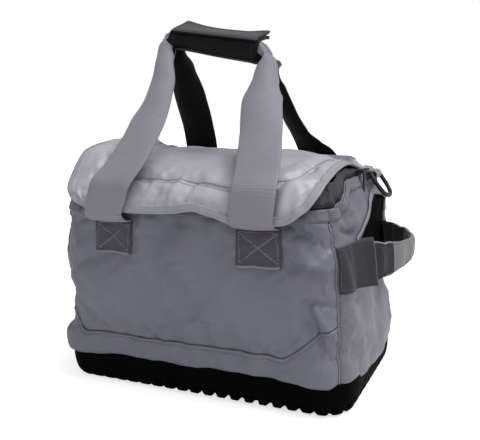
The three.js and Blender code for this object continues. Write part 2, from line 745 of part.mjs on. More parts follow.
function addSideHandles() {
  const anchorZ = 133; // lower edge
  // the anchor lifts off the wall towards the loop
  const anchor = slab(12, 2, (along, across, through) => {
    const lift = 9 * Math.pow(clamp01((along - 0.72) / 0.28), 1.4);
    const z = mix(anchorZ, anchorZ + SIDE_WEB, across);
    return wallPoint(mix(1.6, 2.24, along), z, mix(0.7, 2.9, through) + lift);
  });
  const loop = band(SIDE_HANDLE, 16);
  for (const [side, onSide] of ENDS) {
    add(`side_handle_anchor_front_${side}`, onSide(anchor), FINISH.patch);
    add(`side_handle_anchor_rear_${side}`, onSide(mirrorY(anchor)), FINISH.patch);
    add(`side_handle_${side}`, onSide(loop), FINISH.sideHandle);
  }
}

// ---------- D-rings in webbing keepers ----------
// section in (x, z) with a round hole for the ring's bar
function ringKeeper() {
  const [centreX, centreY, centreZ] = RING_CENTRE;
  const width = 22;
  const section = new THREE.Shape();
  section.moveTo(163.8, 225.5);
  section.lineTo(166, 225.5);
  section.lineTo(169.4, 232.6);
  section.absarc(centreX, centreZ, 5.7, -1.95, 1.9, false);
  section.lineTo(166, 243.6);
  section.lineTo(163.8, 241.6);
  section.closePath();
  const hole = new THREE.Path();
  hole.absarc(centreX, centreZ, 3.4, 0, Math.PI * 2, true);
  section.holes.push(hole);
  return extrude(section, width, 7, [PLUS_X, PLUS_Z, MINUS_Y], [0, centreY + width / 2, 0]);
}

// a torus bent to a D, its straight bar along Y in the keeper
function dRing() {
  const segments = 28;
  const half = 18;
  const reach = 29;
  const path = outline([
    [0, -half + 5], [0, half - 5], [0, half, 5, half], [reach - 17, half],
    [reach - 4, half, reach, half - 9, reach, 0],
    [reach, -half + 9, reach - 4, -half, reach - 17, -half],
    [5, -half], [0, -half, 0, -half + 5],
  ]);
  const points = path.getSpacedPoints(segments).slice(0, segments);
  const [centreX, centreY, centreZ] = RING_CENTRE;
  const cosRest = Math.cos(RING_REST);
  const sinRest = Math.sin(RING_REST);
  // only the torus's connectivity and uv are used; its radii are replaced
  const torus = new THREE.TorusGeometry(10, 1, 6, segments);
  const uv = torus.attributes.uv;
  return reshape(torus, (x, y, z, i) => {
    const j = Math.round(uv.getX(i) * segments) % segments;
    const angle = uv.getY(i) * Math.PI * 2;
    const normal = leftNormal(
      points[(j + segments - 1) % segments], points[(j + 1) % segments]);
    const flat = points[j].clone().addScaledVector(normal, RING_WIRE_R * Math.cos(angle));
    const rise = RING_WIRE_R * Math.sin(angle);
    return [
      centreX + flat.x * cosRest - rise * sinRest,
      centreY + flat.y,
      centreZ + flat.x * sinRest + rise * cosRest,
    ];
  });
}

function addRings() {
  const keeper = ringKeeper();
  const ring = dRing();
  for (const [side, onSide] of ENDS) {
    add(`ring_keeper_${side}`, onSide(keeper), FINISH.keeper);
    add(`d_ring_${side}`, onSide(ring), FINISH.ring);
  }
}

addTray();
addBoard();
addPanels();
addGussets();
addLiner();
addPiping();
addLidLayers();
addLidHem();
addHinge();
addZipTapes();
addZipSlider();
addStrapPatches();
addHandles();
addGrip();
addSideHandles();
addRings();

export default group;
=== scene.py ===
"""A soft-sided carry bag: padded lid, two carry straps meeting in a wrapped grip, an end
pocket, grab handle and ring at each end, and a moulded tray underneath.

The bag's length runs along x, its front faces -y, and it stands on z = 0. "Left" is -x and
"right" is +x. Shapes are worked out in millimetres, and make() turns them into metres.
"""
import math

import bmesh
import bpy
import numpy as np
from mathutils import Matrix, Vector


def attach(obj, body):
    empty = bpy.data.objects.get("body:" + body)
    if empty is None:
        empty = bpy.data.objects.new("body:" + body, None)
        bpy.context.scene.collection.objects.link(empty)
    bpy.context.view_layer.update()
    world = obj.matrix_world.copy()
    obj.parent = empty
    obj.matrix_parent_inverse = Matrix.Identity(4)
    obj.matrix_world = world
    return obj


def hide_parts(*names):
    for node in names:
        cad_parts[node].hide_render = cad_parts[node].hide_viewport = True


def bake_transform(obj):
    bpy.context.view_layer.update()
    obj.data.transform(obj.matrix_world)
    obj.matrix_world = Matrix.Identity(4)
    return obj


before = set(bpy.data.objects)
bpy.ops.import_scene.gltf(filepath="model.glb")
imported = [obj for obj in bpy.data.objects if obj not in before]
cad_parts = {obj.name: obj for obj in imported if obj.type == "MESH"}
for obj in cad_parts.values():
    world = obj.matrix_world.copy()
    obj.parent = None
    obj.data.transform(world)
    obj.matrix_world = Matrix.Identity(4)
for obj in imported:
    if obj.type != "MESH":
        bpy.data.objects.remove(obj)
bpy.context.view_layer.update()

scene = bpy.context.scene
MM = 0.001

# ---------- driving dimensions, mm ----------
CORNER_R = 28.0
RIM_FRONT_Z, RIM_SIDE_Z, SEAM_Z = 218.0, 240.0, 63.0
STRAP_X = 88.0  # middle of each strap end, left and right
LID_HALF_X, LID_CORNER, LID_LIP_HALF = 155.0, 45.0, 115.0
WEB, WEB_T = 48.0, 2.4  # width and thickness of the carry webbing


# ---------- numbers and curves ----------
def smooth(t):
    t = np.clip(t, 0, 1)
    return t * t * (3 - 2 * t)


def mix(a, b, t):
    return a + (b - a) * t


def unit(a):
    return a / (np.linalg.norm(a, axis=-1, keepdims=True) + 1e-12)


def grid(a, b):
    return np.meshgrid(a, b, indexing="ij")


def table(rows):
    """A function through (x, value) rows, half linear and half eased between them."""
    xs, values = np.array(rows, float).T

    def look_up(x):
        x = np.asarray(x, float)
        i = np.clip(np.searchsorted(xs, x, side="right") - 1, 0, len(xs) - 2)
        t = np.clip((x - xs[i]) / (xs[i + 1] - xs[i]), 0, 1)
        return mix(values[i], values[i + 1], smooth(t) * 0.5 + 0.5 * t)

    return look_up


def between(values, place):
    """Values listed per station, eased at fractional station numbers."""
    values = np.array(values, float)
    i = np.minimum(len(values) - 2, place.astype(int))
    t = place - i
    ease = t * t * (3 - 2 * t)
    return mix(values[i], values[i + 1], ease[:, None] if values.ndim > 1 else ease)


def run_along(points):
    """Distance along a path at each of its points."""
    steps = np.linalg.norm(np.diff(points, axis=0), axis=1)
    return np.concatenate([[0], np.cumsum(steps)])


class Spline:
    """Centripetal Catmull-Rom through points, with an arc-length table."""

    def __init__(self, points, closed=False):
        points = np.array(points, float)
        self.closed = closed
        self.spans = len(points) - (not closed)
        if closed:
            self.padded = np.concatenate([points[-1:], points, points[:3]])
        else:
            before, after = 2 * points[0] - points[1], 2 * points[-1] - points[-2]
            self.padded = np.concatenate([[before], points, [after]])
        self.params = np.linspace(0, 1, 40 * self.spans + 1)
        self.run = run_along(self.at(self.params))
        self.length = self.run[-1]

    def at(self, t):
        t = np.asarray(t, float)
        place = self.spans * t.ravel()
        i = np.minimum(np.floor(place).astype(int), self.spans - (not self.closed))
        w = (place - i)[:, None]
        p0, p1, p2, p3 = (self.padded[i + k] for k in range(4))
        gap0, gap1, gap2 = (
            np.sqrt(np.maximum(np.linalg.norm(b - a, axis=1), 1e-9))[:, None]
            for a, b in ((p0, p1), (p1, p2), (p2, p3)))
        gap1 = np.where(gap1 < 1e-4, 1, gap1)
        gap0 = np.where(gap0 < 1e-4, gap1, gap0)
        gap2 = np.where(gap2 < 1e-4, gap1, gap2)
        slope1 = ((p1 - p0) / gap0 - (p2 - p0) / (gap0 + gap1) + (p2 - p1) / gap1) * gap1
        slope2 = ((p2 - p1) / gap1 - (p3 - p1) / (gap1 + gap2) + (p3 - p2) / gap2) * gap1
        out = (p1 + slope1 * w + (-3 * p1 + 3 * p2 - 2 * slope1 - slope2) * w**2
               + (2 * p1 - 2 * p2 + slope1 + slope2) * w**3)
        return out.reshape(t.shape + (out.shape[1],))

    def param_of(self, v):
        """The parameter at a fraction v of the length."""
        return np.interp(np.asarray(v, float) * self.length, self.run, self.params)

    def even(self, v):
        return self.at(self.param_of(v))

    def tangent(self, v):
        v = np.asarray(v, float)
        step = self.even(np.clip(v + 1e-4, 0, 1)) - self.even(np.clip(v - 1e-4, 0, 1))
        return step / np.linalg.norm(step, axis=-1, keepdims=True)


def smooth_line(points, count):
    return Spline(points).even(np.linspace(0, 1, count))


def resample(path, step, closed=False):
    path = np.asarray(path, float)
    if closed:
        path = np.concatenate([path, path[:1]])
    run = run_along(path)
    count = max(2, int(round(run[-1] / step)))
    where = np.linspace(0, run[-1], count + 1)
    if closed:
        where = where[:-1]
    return np.stack([np.interp(where, run, column) for column in path.T], -1)


def left_of(line):
    """Unit normals of a flat line, on its left-hand side."""
    along = unit(np.gradient(line, axis=0))
    return np.stack([-along[:, 1], along[:, 0]], -1)


def to_segment(x, y, run, rise):
    """Fraction along a segment from the origin, and distance to it."""
    t = np.clip((x * run + y * rise) / (run * run + rise * rise), 0, 1)
    return t, np.hypot(x - t * run, y - t * rise)


def crease(x, y, run, rise, height, width, power=0.6):
    """Relief of a crease along a segment from the origin, fading at its ends."""
    t, dist = to_segment(x, y, run, rise)
    return height * np.sin(np.pi * t) ** power / (1 + (dist / width) ** 2) ** 1.5


def cubic_at(values, fi, fj, wrap=False):
    """Catmull-Rom lookup in a grid (n, m, 3) at fractional indices; wrap joins the n ends."""
    n, m = values.shape[:2]
    fi, fj = np.asarray(fi, float), np.asarray(fj, float)
    i0, j0 = np.floor(fi).astype(int), np.floor(fj).astype(int)

    def weights(t):
        return [((-t + 2) * t - 1) * t / 2, ((3 * t - 5) * t * t + 2) / 2,
                ((-3 * t + 4) * t + 1) * t / 2, (t - 1) * t * t / 2]

    weights_i, weights_j = weights(fi - i0), weights(fj - j0)
    out = np.zeros(fi.shape + (values.shape[2],))
    for a in range(4):
        i = (i0 + a - 1) % n if wrap else np.clip(i0 + a - 1, 0, n - 1)
        for b in range(4):
            j = np.clip(j0 + b - 1, 0, m - 1)
            out += (weights_i[a] * weights_j[b])[..., None] * values[i, j]
    return out


def grid_normals(points, wrap=False):
    if wrap:
        along = np.roll(points, -1, 0) - np.roll(points, 1, 0)
    else:
        along = np.gradient(points, axis=0)
    return unit(np.cross(along, np.gradient(points, axis=1)))


# ---------- mesh building ----------
def grid_faces(n, m, wrap_i=False, wrap_j=False):
    i, j = grid(np.arange(n if wrap_i else n - 1), np.arange(m if wrap_j else m - 1))
    i2, j2 = (i + 1) % n, (j + 1) % m
    return np.stack([i * m + j, i2 * m + j, i2 * m + j2, i * m + j2], -1).reshape(-1, 4)


def tube_faces(n, m):
    """Faces of n rings of m points, capped at both ends."""
    faces = [list(face) for face in grid_faces(n, m, wrap_j=True)]
    return faces + [list(range(m)), list(range((n - 1) * m, n * m))]


def band(ring_a, ring_b):
    """Faces between two closed rings of indices."""
    return np.stack([ring_a, np.roll(ring_a, -1), np.roll(ring_b, -1), ring_b], -1)


def shell(outer, inner, cup=False):
    """A closed sheet between two grids (n, m, 3): points, faces, and 1 for each inner face.

    A cup joins its n ends and has its first ring filled in.
    """
    n, m = outer.shape[:2]
    ids = np.arange(n * m).reshape(n, m)
    front = grid_faces(n, m, cup)
    back = front[:, ::-1] + n * m
    if cup:
        rim = ids[:, -1]
        caps = [list(ids[:, 0]), list(ids[::-1, 0] + n * m)]
    else:
        rim = np.concatenate([ids[:, 0], ids[-1, 1:], ids[::-1, -1][1:], ids[0, ::-1][1:-1]])
        caps = []
    edge = band(rim, rim + n * m)
    faces = np.concatenate([front, back, edge]).tolist() + caps
    is_inner = np.zeros(len(faces), int)
    is_inner[len(front):len(front) + len(back)] = 1
    return np.concatenate([outer.reshape(-1, 3), inner.reshape(-1, 3)]), faces, is_inner


def sweep(path, ref, section, closed=False, taper=None):
    """A solid swept along a path, its normal kept near ref (one vector or one per point).

    Section points are (side, normal) pairs, one polygon or one per path point.
    """
    path = np.asarray(path, float)
    if closed:
        along = unit(np.roll(path, -1, 0) - np.roll(path, 1, 0))
    else:
        along = unit(np.gradient(path, axis=0))
    normal = np.broadcast_to(np.asarray(ref, float), path.shape)
    normal = unit(normal - along * (normal * along).sum(1, keepdims=True))
    side = np.cross(along, normal)
    section = np.asarray(section, float)
    if section.ndim == 2:
        section = np.broadcast_to(section, (len(path),) + section.shape)
    if taper is not None:
        section = section * np.asarray(taper, float)[:, None, None]
    points = path[:, None] + side[:, None] * section[..., :1] + normal[:, None] * section[..., 1:]
    size = section.shape[1]
    faces = grid_faces(len(path), size, True, True) if closed else tube_faces(len(path), size)
    return points.reshape(-1, 3), faces


def oval(a, b, count=8):
    angle = np.arange(count) / count * 2 * np.pi
    return np.stack([a * np.cos(angle), b * np.sin(angle)], -1)


def rounded_box(a, b, r, steps):
    """A rounded rectangle, half sizes a and b, corner radius r."""
    out = []
    for cx, cy, first in ((a - r, b - r, 0), (-a + r, b - r, 90),
                          (-a + r, -b + r, 180), (a - r, -b + r, 270)):
        for i in range(steps + 1):
            angle = math.radians(first + 90 * i / steps)
            out.append((cx + r * math.cos(angle), cy + r * math.sin(angle)))
    return np.array(out)


def joined(parts):
    """Several (points, faces) as one."""
    all_points, all_faces, count = [], [], 0
    for points, faces in parts:
        all_points.append(points)
        all_faces += [[int(i) + count for i in face] for face in faces]
        count += len(points)
    return np.concatenate(all_points), all_faces


def stitches(path, normals, pitch=3.6, length=2.7, radius=0.32, lift=0.1):
    """A row of thread stitches along a path that lies on a surface."""
    path = np.asarray(path, float)
    columns = np.concatenate([path, np.broadcast_to(normals, path.shape)], 1).T
    run = run_along(path)
    middles = np.arange(pitch / 2, run[-1] - pitch / 4, pitch)

    def sample(where):
        return np.stack([np.interp(where, run, column) for column in columns], -1)

    start, end = sample(middles - length / 2), sample(middles + length / 2)
    normal = unit(start[:, 3:] + end[:, 3:])
    along = end[:, :3] - start[:, :3]
    span = np.linalg.norm(along, axis=1, keepdims=True) + 1e-12
    along /= span
    normal = unit(normal - along * (normal * along).sum(1, keepdims=True))
    across = np.cross(along, normal)
    # rings: fraction along the stitch, size, rise (both in thread radii)
    rings = [(0.0, 0.25, -0.25), (0.22, 0.9, 0.1), (0.78, 0.9, 0.1), (1.0, 0.25, -0.25)]
    points = []
    for fraction, size, rise in rings:
        centre = start[:, :3] + along * span * fraction + normal * (lift + rise * radius)
        for x, y in ((1, 0), (0, 1), (-1, 0), (0, -1)):
            points.append(centre + across * x * radius * size + normal * y * radius * size)
    points = np.stack(points, 1)
    faces = [[i * 4 + k, i * 4 + (k + 1) % 4, (i + 1) * 4 + (k + 1) % 4, (i + 1) * 4 + k]
             for i in range(3) for k in range(4)]
    faces = np.array(faces + [[0, 3, 2, 1], [12, 13, 14, 15]])
    firsts = (np.arange(len(points)) * 16)[:, None, None]
    return points.reshape(-1, 3), (faces[None] + firsts).reshape(-1, 4)


def make(name, points, faces, mats, body=None, uv=None, face_mats=None,
         stands_for="", slot=None, blend=None):
    """A mesh object from points and uv in mm.

    mats holds keys of MATERIALS and stands_for names of frame pieces, parted by spaces.
    It rides on a body; given blend it rides on no body and has its transform baked in, and the
    bodies and points in blend are not used.
    """
    mesh = bpy.data.meshes.new(name)
    points = np.asarray(points, float).reshape(-1, 3) * MM
    mesh.from_pydata(points.tolist(), [], [list(map(int, face)) for face in faces])
    for key in mats.split():
        mesh.materials.append(MATERIALS[key])
    if uv is not None:
        layer = mesh.uv_layers.new(name="weave")
        corner_points = np.zeros(len(mesh.loops), np.int32)
        mesh.loops.foreach_get("vertex_index", corner_points)
        uv = np.asarray(uv * MM, np.float32)
        layer.data.foreach_set("uv", uv[corner_points].ravel())
    if face_mats is not None:
        mesh.polygons.foreach_set("material_index", np.asarray(face_mats, np.int32))
    mesh.polygons.foreach_set("use_smooth", np.full(len(mesh.polygons), True))
    mesh.update()
    bm = bmesh.new()
    bm.from_mesh(mesh)
    bmesh.ops.recalc_face_normals(bm, faces=bm.faces[:])
    bm.to_mesh(mesh)
    bm.free()
    ob = bpy.data.objects.new(name, mesh)
    scene.collection.objects.link(ob)
    if body is not None:
        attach(ob, body)
    if stands_for:
        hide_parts(*stands_for.split())
    if blend:
        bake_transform(ob)


def make_sheet(name, outer, inner, mats, body=None, uv=None, cup=False, **told):
    """make() for a shell; uv is a pair of grids, and a second material covers the inside."""
    points, faces, is_inner = shell(outer, inner, cup)
    one_side = np.stack(np.broadcast_arrays(*uv), -1).reshape(-1, 2)
    make(name, points, faces, mats, body, np.concatenate([one_side, one_side]),
         is_inner if " " in mats else None, **told)


def cloth(points, faces, pins, pressure, grow, bend, tension, cap):
    """Runs Blender's Cloth on points (mm) and gives their shifts, eased off towards cap (mm).

    Pins are weights 0..1; grow is the share by which the cloth is larger than its shape.
    """
    frames = 16
    mesh = bpy.data.meshes.new("sim")
    mesh.from_pydata((points.reshape(-1, 3) * MM).tolist(), [],
                     [list(map(int, face)) for face in faces])
    mesh.update()
    ob = bpy.data.objects.new("sim", mesh)
    scene.collection.objects.link(ob)
    group = ob.vertex_groups.new(name="pin")
    pins = np.round(np.asarray(pins, float).ravel(), 2)
    for weight in np.unique(pins):
        if weight > 0:
            group.add(np.nonzero(pins == weight)[0].tolist(), float(weight), "REPLACE")
    modifier = ob.modifiers.new("Cloth", "CLOTH")
    settings = modifier.settings
    settings.quality = 6
    settings.mass = 0.3
    settings.air_damping = 2.0
    settings.tension_stiffness = settings.compression_stiffness = tension
    settings.shear_stiffness = tension * 0.6
    settings.bending_stiffness = bend
    settings.tension_damping = settings.compression_damping = settings.shear_damping = 8.0
    settings.bending_damping = 1.0
    settings.vertex_group_mass = "pin"
    settings.pin_stiffness = 1.0
    settings.use_pressure = True
    settings.uniform_pressure_force = pressure
    settings.shrink_min = -grow
    settings.effector_weights.gravity = 0.0
    modifier.collision_settings.use_collision = False
    modifier.collision_settings.use_self_collision = False
    modifier.point_cache.frame_start = 1
    modifier.point_cache.frame_end = frames
    for frame in range(1, frames + 1):
        scene.frame_set(frame)
    settled = ob.evaluated_get(bpy.context.evaluated_depsgraph_get())
    flat = np.zeros(len(mesh.vertices) * 3, np.float32)
    settled.data.vertices.foreach_get("co", flat)
    shift = flat.reshape(-1, 3).astype(float) / MM - points.reshape(-1, 3)
    bpy.data.objects.remove(ob)
    scene.frame_set(1)
    shift[~np.isfinite(shift).all(1)] = 0
    size = np.linalg.norm(shift, axis=1, keepdims=True) + 1e-9
    shift *= cap * np.tanh(size / cap) / size
    return shift.reshape(points.shape)


def drape(plain, pins, seed, jitter, wrap=False, **settings):
    """Cloth shifts of a surface grid that starts slightly roughened (jitter, mm)."""
    noise = np.random.default_rng(seed).normal(0, jitter, plain.shape[:2])
    start = plain + grid_normals(plain, wrap) * noise[..., None]
    shift = cloth(start, grid_faces(*plain.shape[:2], wrap), pins, **settings)
    return shift + (start - plain) * 0.3


# ---------- materials ----------
class Shader:
    """One material's nodes. Methods add nodes and give the output socket; lengths are in m."""

    def __init__(self, name):
        self.material = bpy.data.materials.new(name)
        self.material.use_nodes = True
        self.tree = self.material.node_tree
        self.principled = self.tree.nodes["Principled BSDF"]

    def put(self, socket, value):
        if isinstance(value, bpy.types.NodeSocket):
            self.tree.links.new(value, socket)
        else:
            socket.default_value = value

    def add(self, kind, **values):
        """A node; values go to its inputs by name, or else to its properties."""
        node = self.tree.nodes.new(kind)
        for key, value in values.items():
            if key in node.inputs:
                self.put(node.inputs[key], value)
            else:
                setattr(node, key, value)
        return node

    def place(self):
        return self.add("ShaderNodeTexCoord").outputs["Object"]

    def weave(self, turn=0.0):
        """The weave UV map, turned by an angle in radians."""
        source = self.add("ShaderNodeUVMap", uv_map="weave").outputs["UV"]
        if not turn:
            return source
        mapping = self.add("ShaderNodeMapping", Vector=source, Rotation=(0, 0, turn))
        return mapping.outputs["Vector"]

    def noise(self, vector, scale, detail=2.0, rough=0.5):
        return self.add("ShaderNodeTexNoise", Vector=vector, Scale=scale, Detail=detail,
                        Roughness=rough).outputs["Fac"]

    def cells(self, vector, scale, **values):
        return self.add("ShaderNodeTexVoronoi", Vector=vector, Scale=scale,
                        **values).outputs["Distance"]

    def wave(self, vector, period, axis="X", distortion=0.0):
        """Sine bands; 0.31416 / period is the node scale that gives that period."""
        return self.add("ShaderNodeTexWave", Vector=vector, Scale=0.31416 / period,
                        Distortion=distortion, Detail=1.0, bands_direction=axis).outputs["Fac"]

    def math(self, op, a, b):
        node = self.add("ShaderNodeMath", operation=op)
        self.put(node.inputs[0], a)
        self.put(node.inputs[1], b)
        return node.outputs[0]

    def times(self, a, b):
        return self.math("MULTIPLY", a, b)

    def remap(self, value, to, of=(0.0, 1.0)):
        """Maps the range of on to the range to."""
        node = self.add("ShaderNodeMapRange")
        for i, x in enumerate((value, *of, *to)):
            self.put(node.inputs[i], x)
        return node.outputs[0]

    def mottle(self, vector, scale, to, of=(0.25, 0.75), detail=3.0):
        """Noise, the middle of its range mapped on to the range to."""
        return self.remap(self.noise(vector, scale, detail), to, of)

    def mix_colour(self, factor, a, b, blend="MIX"):
        node = self.add("ShaderNodeMix", data_type="RGBA", blend_type=blend)
        for i, value in ((0, factor), (6, a), (7, b)):
            self.put(node.inputs[i], value)
        return node.outputs[2]

    def tint(self, colour, factor):
        """A colour times a grey factor socket."""
        grey = self.add("ShaderNodeCombineColor", Red=factor, Green=factor, Blue=factor)
        return self.mix_colour(1.0, colour, grey.outputs[0], "MULTIPLY")

    def bump(self, height, strength, distance, normal=None):
        node = self.add("ShaderNodeBump", Height=height, Strength=strength, Distance=distance)
        if normal is not None:
            self.put(node.inputs["Normal"], normal)
        return node.outputs["Normal"]

    def finish(self, colour, rough, normal, metal=0.0, sheen=0.0, spec=0.5, coat=0.0):
        values = {"Base Color": colour, "Roughness": rough, "Metallic": metal,
                  "Specular IOR Level": spec, "Normal": normal}
        if sheen:
            values.update({"Sheen Weight": sheen, "Sheen Roughness": 0.4})
        if coat:
            values.update({"Coat Weight": coat, "Coat Roughness": 0.3})
        for key, value in values.items():
            self.put(self.principled.inputs[key], value)
        return self.material


def srgb(*channels):
    """An sRGB 0..255 colour as linear."""
    def linear(c):
        return c / 255 / 12.92 if c / 255 <= 0.04045 else ((c / 255 + 0.055) / 1.055) ** 2.4
    return (*map(linear, channels), 1.0)


def coated(name, colour, rough=0.46):
    """Coated polyester: a fine basket weave under a satin film, mottled and softly creased."""
    mat = Shader(name)
    place = mat.place()
    weave = mat.weave()
    broad = mat.mottle(place, 9.0, to=(0.93, 1.06))
    fine = mat.mottle(place, 260.0, to=(0.965, 1.035), detail=2.0)
    basket = mat.times(mat.wave(weave, 0.0011, "X"), mat.wave(weave, 0.0011, "Y"))
    tone = mat.times(mat.times(broad, fine), mat.remap(basket, to=(1.02, 0.965)))
    tinted = mat.tint(colour, tone)
    creases = mat.noise(place, 55.0, detail=4.0, rough=0.62)
    film = mat.bump(creases, strength=0.18, distance=0.0012)
    normal = mat.bump(basket, strength=0.22, distance=0.00025, normal=film)
    satin = mat.mottle(place, 30.0, to=(rough - 0.05, rough + 0.08), of=(0.3, 0.7))
    return mat.finish(tinted, satin, normal, sheen=0.1, spec=0.45, coat=0.06)


def webbing(name, colour, rib=0.0029, rough=0.62, contrast=0.12, sheen=0.2, spec=0.3):
    """Woven webbing: weft ribs across, warp along, a slanted twill and surface fuzz."""
    mat = Shader(name)
    place = mat.place()
    weave = mat.weave()
    ribs = mat.wave(weave, rib, "Y", distortion=0.35)
    warp = mat.wave(weave, 0.0016)
    twill = mat.wave(mat.weave(turn=0.9), 0.0021)
    height = mat.math("ADD", mat.times(ribs, 0.6),
                      mat.math("ADD", mat.times(warp, 0.2), mat.times(twill, 0.2)))
    tone = mat.times(mat.remap(height, to=(1 - contrast, 1 + contrast * 0.5)),
                     mat.mottle(place, 18.0, to=(0.92, 1.07)))
    fuzz = mat.noise(place, 900.0)
    tone = mat.times(tone, mat.remap(fuzz, to=(0.94, 1.06)))
    normal = mat.bump(height, strength=0.55, distance=0.0005,
                      normal=mat.bump(fuzz, strength=0.1, distance=0.0003))
    return mat.finish(mat.tint(colour, tone), rough, normal, sheen=sheen, spec=spec)


def moulded(name, colour, rough=0.55, grain=1.0, spec=0.4, wear=0.0):
    """Moulded rubber or plastic: a pebble grain, faint flow marks, and rubbed edges if worn."""
    mat = Shader(name)
    place = mat.place()
    pebbles = mat.cells(place, 900.0 / grain)
    flow = mat.noise(place, 14.0, detail=3.0)
    tinted = mat.tint(colour, mat.remap(flow, to=(0.85, 1.2), of=(0.25, 0.75)))
    if wear:
        edges = mat.add("ShaderNodeNewGeometry").outputs["Pointiness"]
        rubbed = mat.times(mat.remap(edges, to=(0.0, 1.0), of=(0.52, 0.60)),
                           mat.mottle(place, 70.0, to=(0.0, 1.0), of=(0.45, 0.65)))
        pale = tuple(min(1, c * 5 + 0.03) for c in colour[:3]) + (1,)
        tinted = mat.mix_colour(mat.times(rubbed, wear), tinted, pale)
    normal = mat.bump(pebbles, strength=0.25, distance=0.0003,
                      normal=mat.bump(flow, strength=0.08, distance=0.001))
    uneven = mat.mottle(place, 40.0, to=(rough - 0.08, rough + 0.1), of=(0.3, 0.7))
    return mat.finish(tinted, uneven, normal, spec=spec)


def mesh_cloth(name, colour):
    """Open sports mesh: a honeycomb of small dark holes."""
    mat = Shader(name)
    cells = mat.cells(mat.weave(), 420.0, Randomness=0.15)
    holes = mat.remap(cells, to=(0.0, 1.0), of=(0.25, 0.5))
    tinted = mat.mix_colour(holes, tuple(c * 0.25 for c in colour[:3]) + (1,), colour)
    normal = mat.bump(holes, strength=0.6, distance=0.0005)
    return mat.finish(tinted, 0.85, normal, spec=0.06)


def thread(name, colour):
    mat = Shader(name)
    fibres = mat.noise(mat.place(), 1500.0, detail=1.0)
    return mat.finish(mat.tint(colour, mat.remap(fibres, to=(0.85, 1.1))), 0.5,
                      mat.bump(fibres, strength=0.3, distance=0.0001), sheen=0.3, spec=0.4)


def skin(name, colour, rough, spec=0.45):
    """A soft coated wrap with a fine leather-like grain."""
    mat = Shader(name)
    place = mat.place()
    grain = mat.cells(place, 650.0)
    soft = mat.noise(place, 28.0, detail=3.0)
    tone = mat.times(mat.remap(soft, to=(0.85, 1.15), of=(0.25, 0.75)),
                     mat.remap(grain, to=(0.85, 1.05), of=(0.0, 0.6)))
    tinted = mat.tint(colour, tone)
    normal = mat.bump(grain, strength=0.25, distance=0.0003,
                      normal=mat.bump(soft, strength=0.25, distance=0.0015))
    uneven = mat.mottle(place, 60.0, to=(rough - 0.06, rough + 0.1), of=(0.3, 0.7))
    return mat.finish(tinted, uneven, normal, spec=spec, sheen=0.03)


def metal(name, colour):
    mat = Shader(name)
    specks = mat.noise(mat.place(), 300.0, detail=3.0)
    return mat.finish(mat.tint(colour, mat.remap(specks, to=(0.8, 1.15))),
                      mat.remap(specks, to=(0.25, 0.45)),
                      mat.bump(specks, strength=0.08, distance=0.0002), metal=0.75)


MATERIALS = {
    "body": coated("coated_fabric", srgb(114, 114, 127)),
    # the ends: the coated fabric again, set a little darker than the front's as painted shade
    "side": coated("coated_fabric_side", srgb(111, 109, 120)),
    # the lid: the coated fabric again, made much lighter as painted light from the lamp above
    "lid": coated("lid_fabric", srgb(170, 169, 177), rough=0.4),
    "hem": coated("hem_tape", srgb(152, 152, 158), rough=0.5),
    "bind": coated("binding_tape", srgb(132, 131, 138), rough=0.5),
    # the yoke seam cord: dark as painted shade for the crease along the seam
    "seam": coated("seam_cord", srgb(80, 80, 90), rough=0.5),
    "ridge": coated("seam_ridge", srgb(118, 118, 128), rough=0.45),
    "web": webbing("webbing_grey", srgb(139, 136, 146), contrast=0.1),
    "web_in": webbing("webbing_black", srgb(15, 14, 16), rough=0.8, sheen=0.02, spec=0.12),
    # the strap patches' webbing: the grey webbing again, darkened as painted shade
    "web_patch_painted_shade": webbing("webbing_dark", srgb(78, 75, 84), rib=0.0022, contrast=0.18),
    "web_side": webbing("webbing_side", srgb(51, 50, 55), rib=0.0019, contrast=0.16),
    # the upper zip tape: dark grey as painted shade for the shadow under the lid's edge
    "tape_lid": webbing("zip_tape_lid", srgb(62, 61, 67), rib=0.0012, contrast=0.08, sheen=0.05),
    "tape": webbing("zip_tape", srgb(112, 111, 120), rib=0.0012, contrast=0.08),
    "tray": moulded("tray_eva", srgb(2, 2, 3), rough=0.7, spec=0.04, wear=0.1),
    "ring": moulded("ring_plastic", srgb(14, 14, 16), rough=0.3, grain=0.6, spec=0.45),
    "coil": moulded("zip_coil", srgb(44, 44, 48), rough=0.35, grain=0.5, spec=0.3),
    "board": moulded("board", srgb(40, 40, 43), rough=0.6),
    "mesh": mesh_cloth("pocket_mesh", srgb(5, 5, 6)),
    "liner": webbing("liner_fabric", srgb(50, 50, 54), rib=0.0009, contrast=0.08, sheen=0.05,
                     spec=0.2),
    "thread": thread("thread_light", srgb(150, 148, 158)),
    "thread_dark": thread("thread_dark", srgb(84, 83, 94)),
    "thread_mid": thread("thread_mid", srgb(128, 127, 135)),
    "thread_black": thread("thread_black", srgb(38, 38, 42)),
    "grip": skin("grip_wrap", srgb(6, 6, 7), rough=0.45, spec=0.18),
    "grip_top": skin("grip_flap", srgb(60, 60, 64), rough=0.38),
    "sidegrip": coated("side_handle_fabric", srgb(126, 124, 126), rough=0.5),
    "slider": metal("zip_metal", srgb(60, 60, 64)),
    "pull": moulded("pull_cord", srgb(34, 34, 38), rough=0.5, grain=0.6),
}

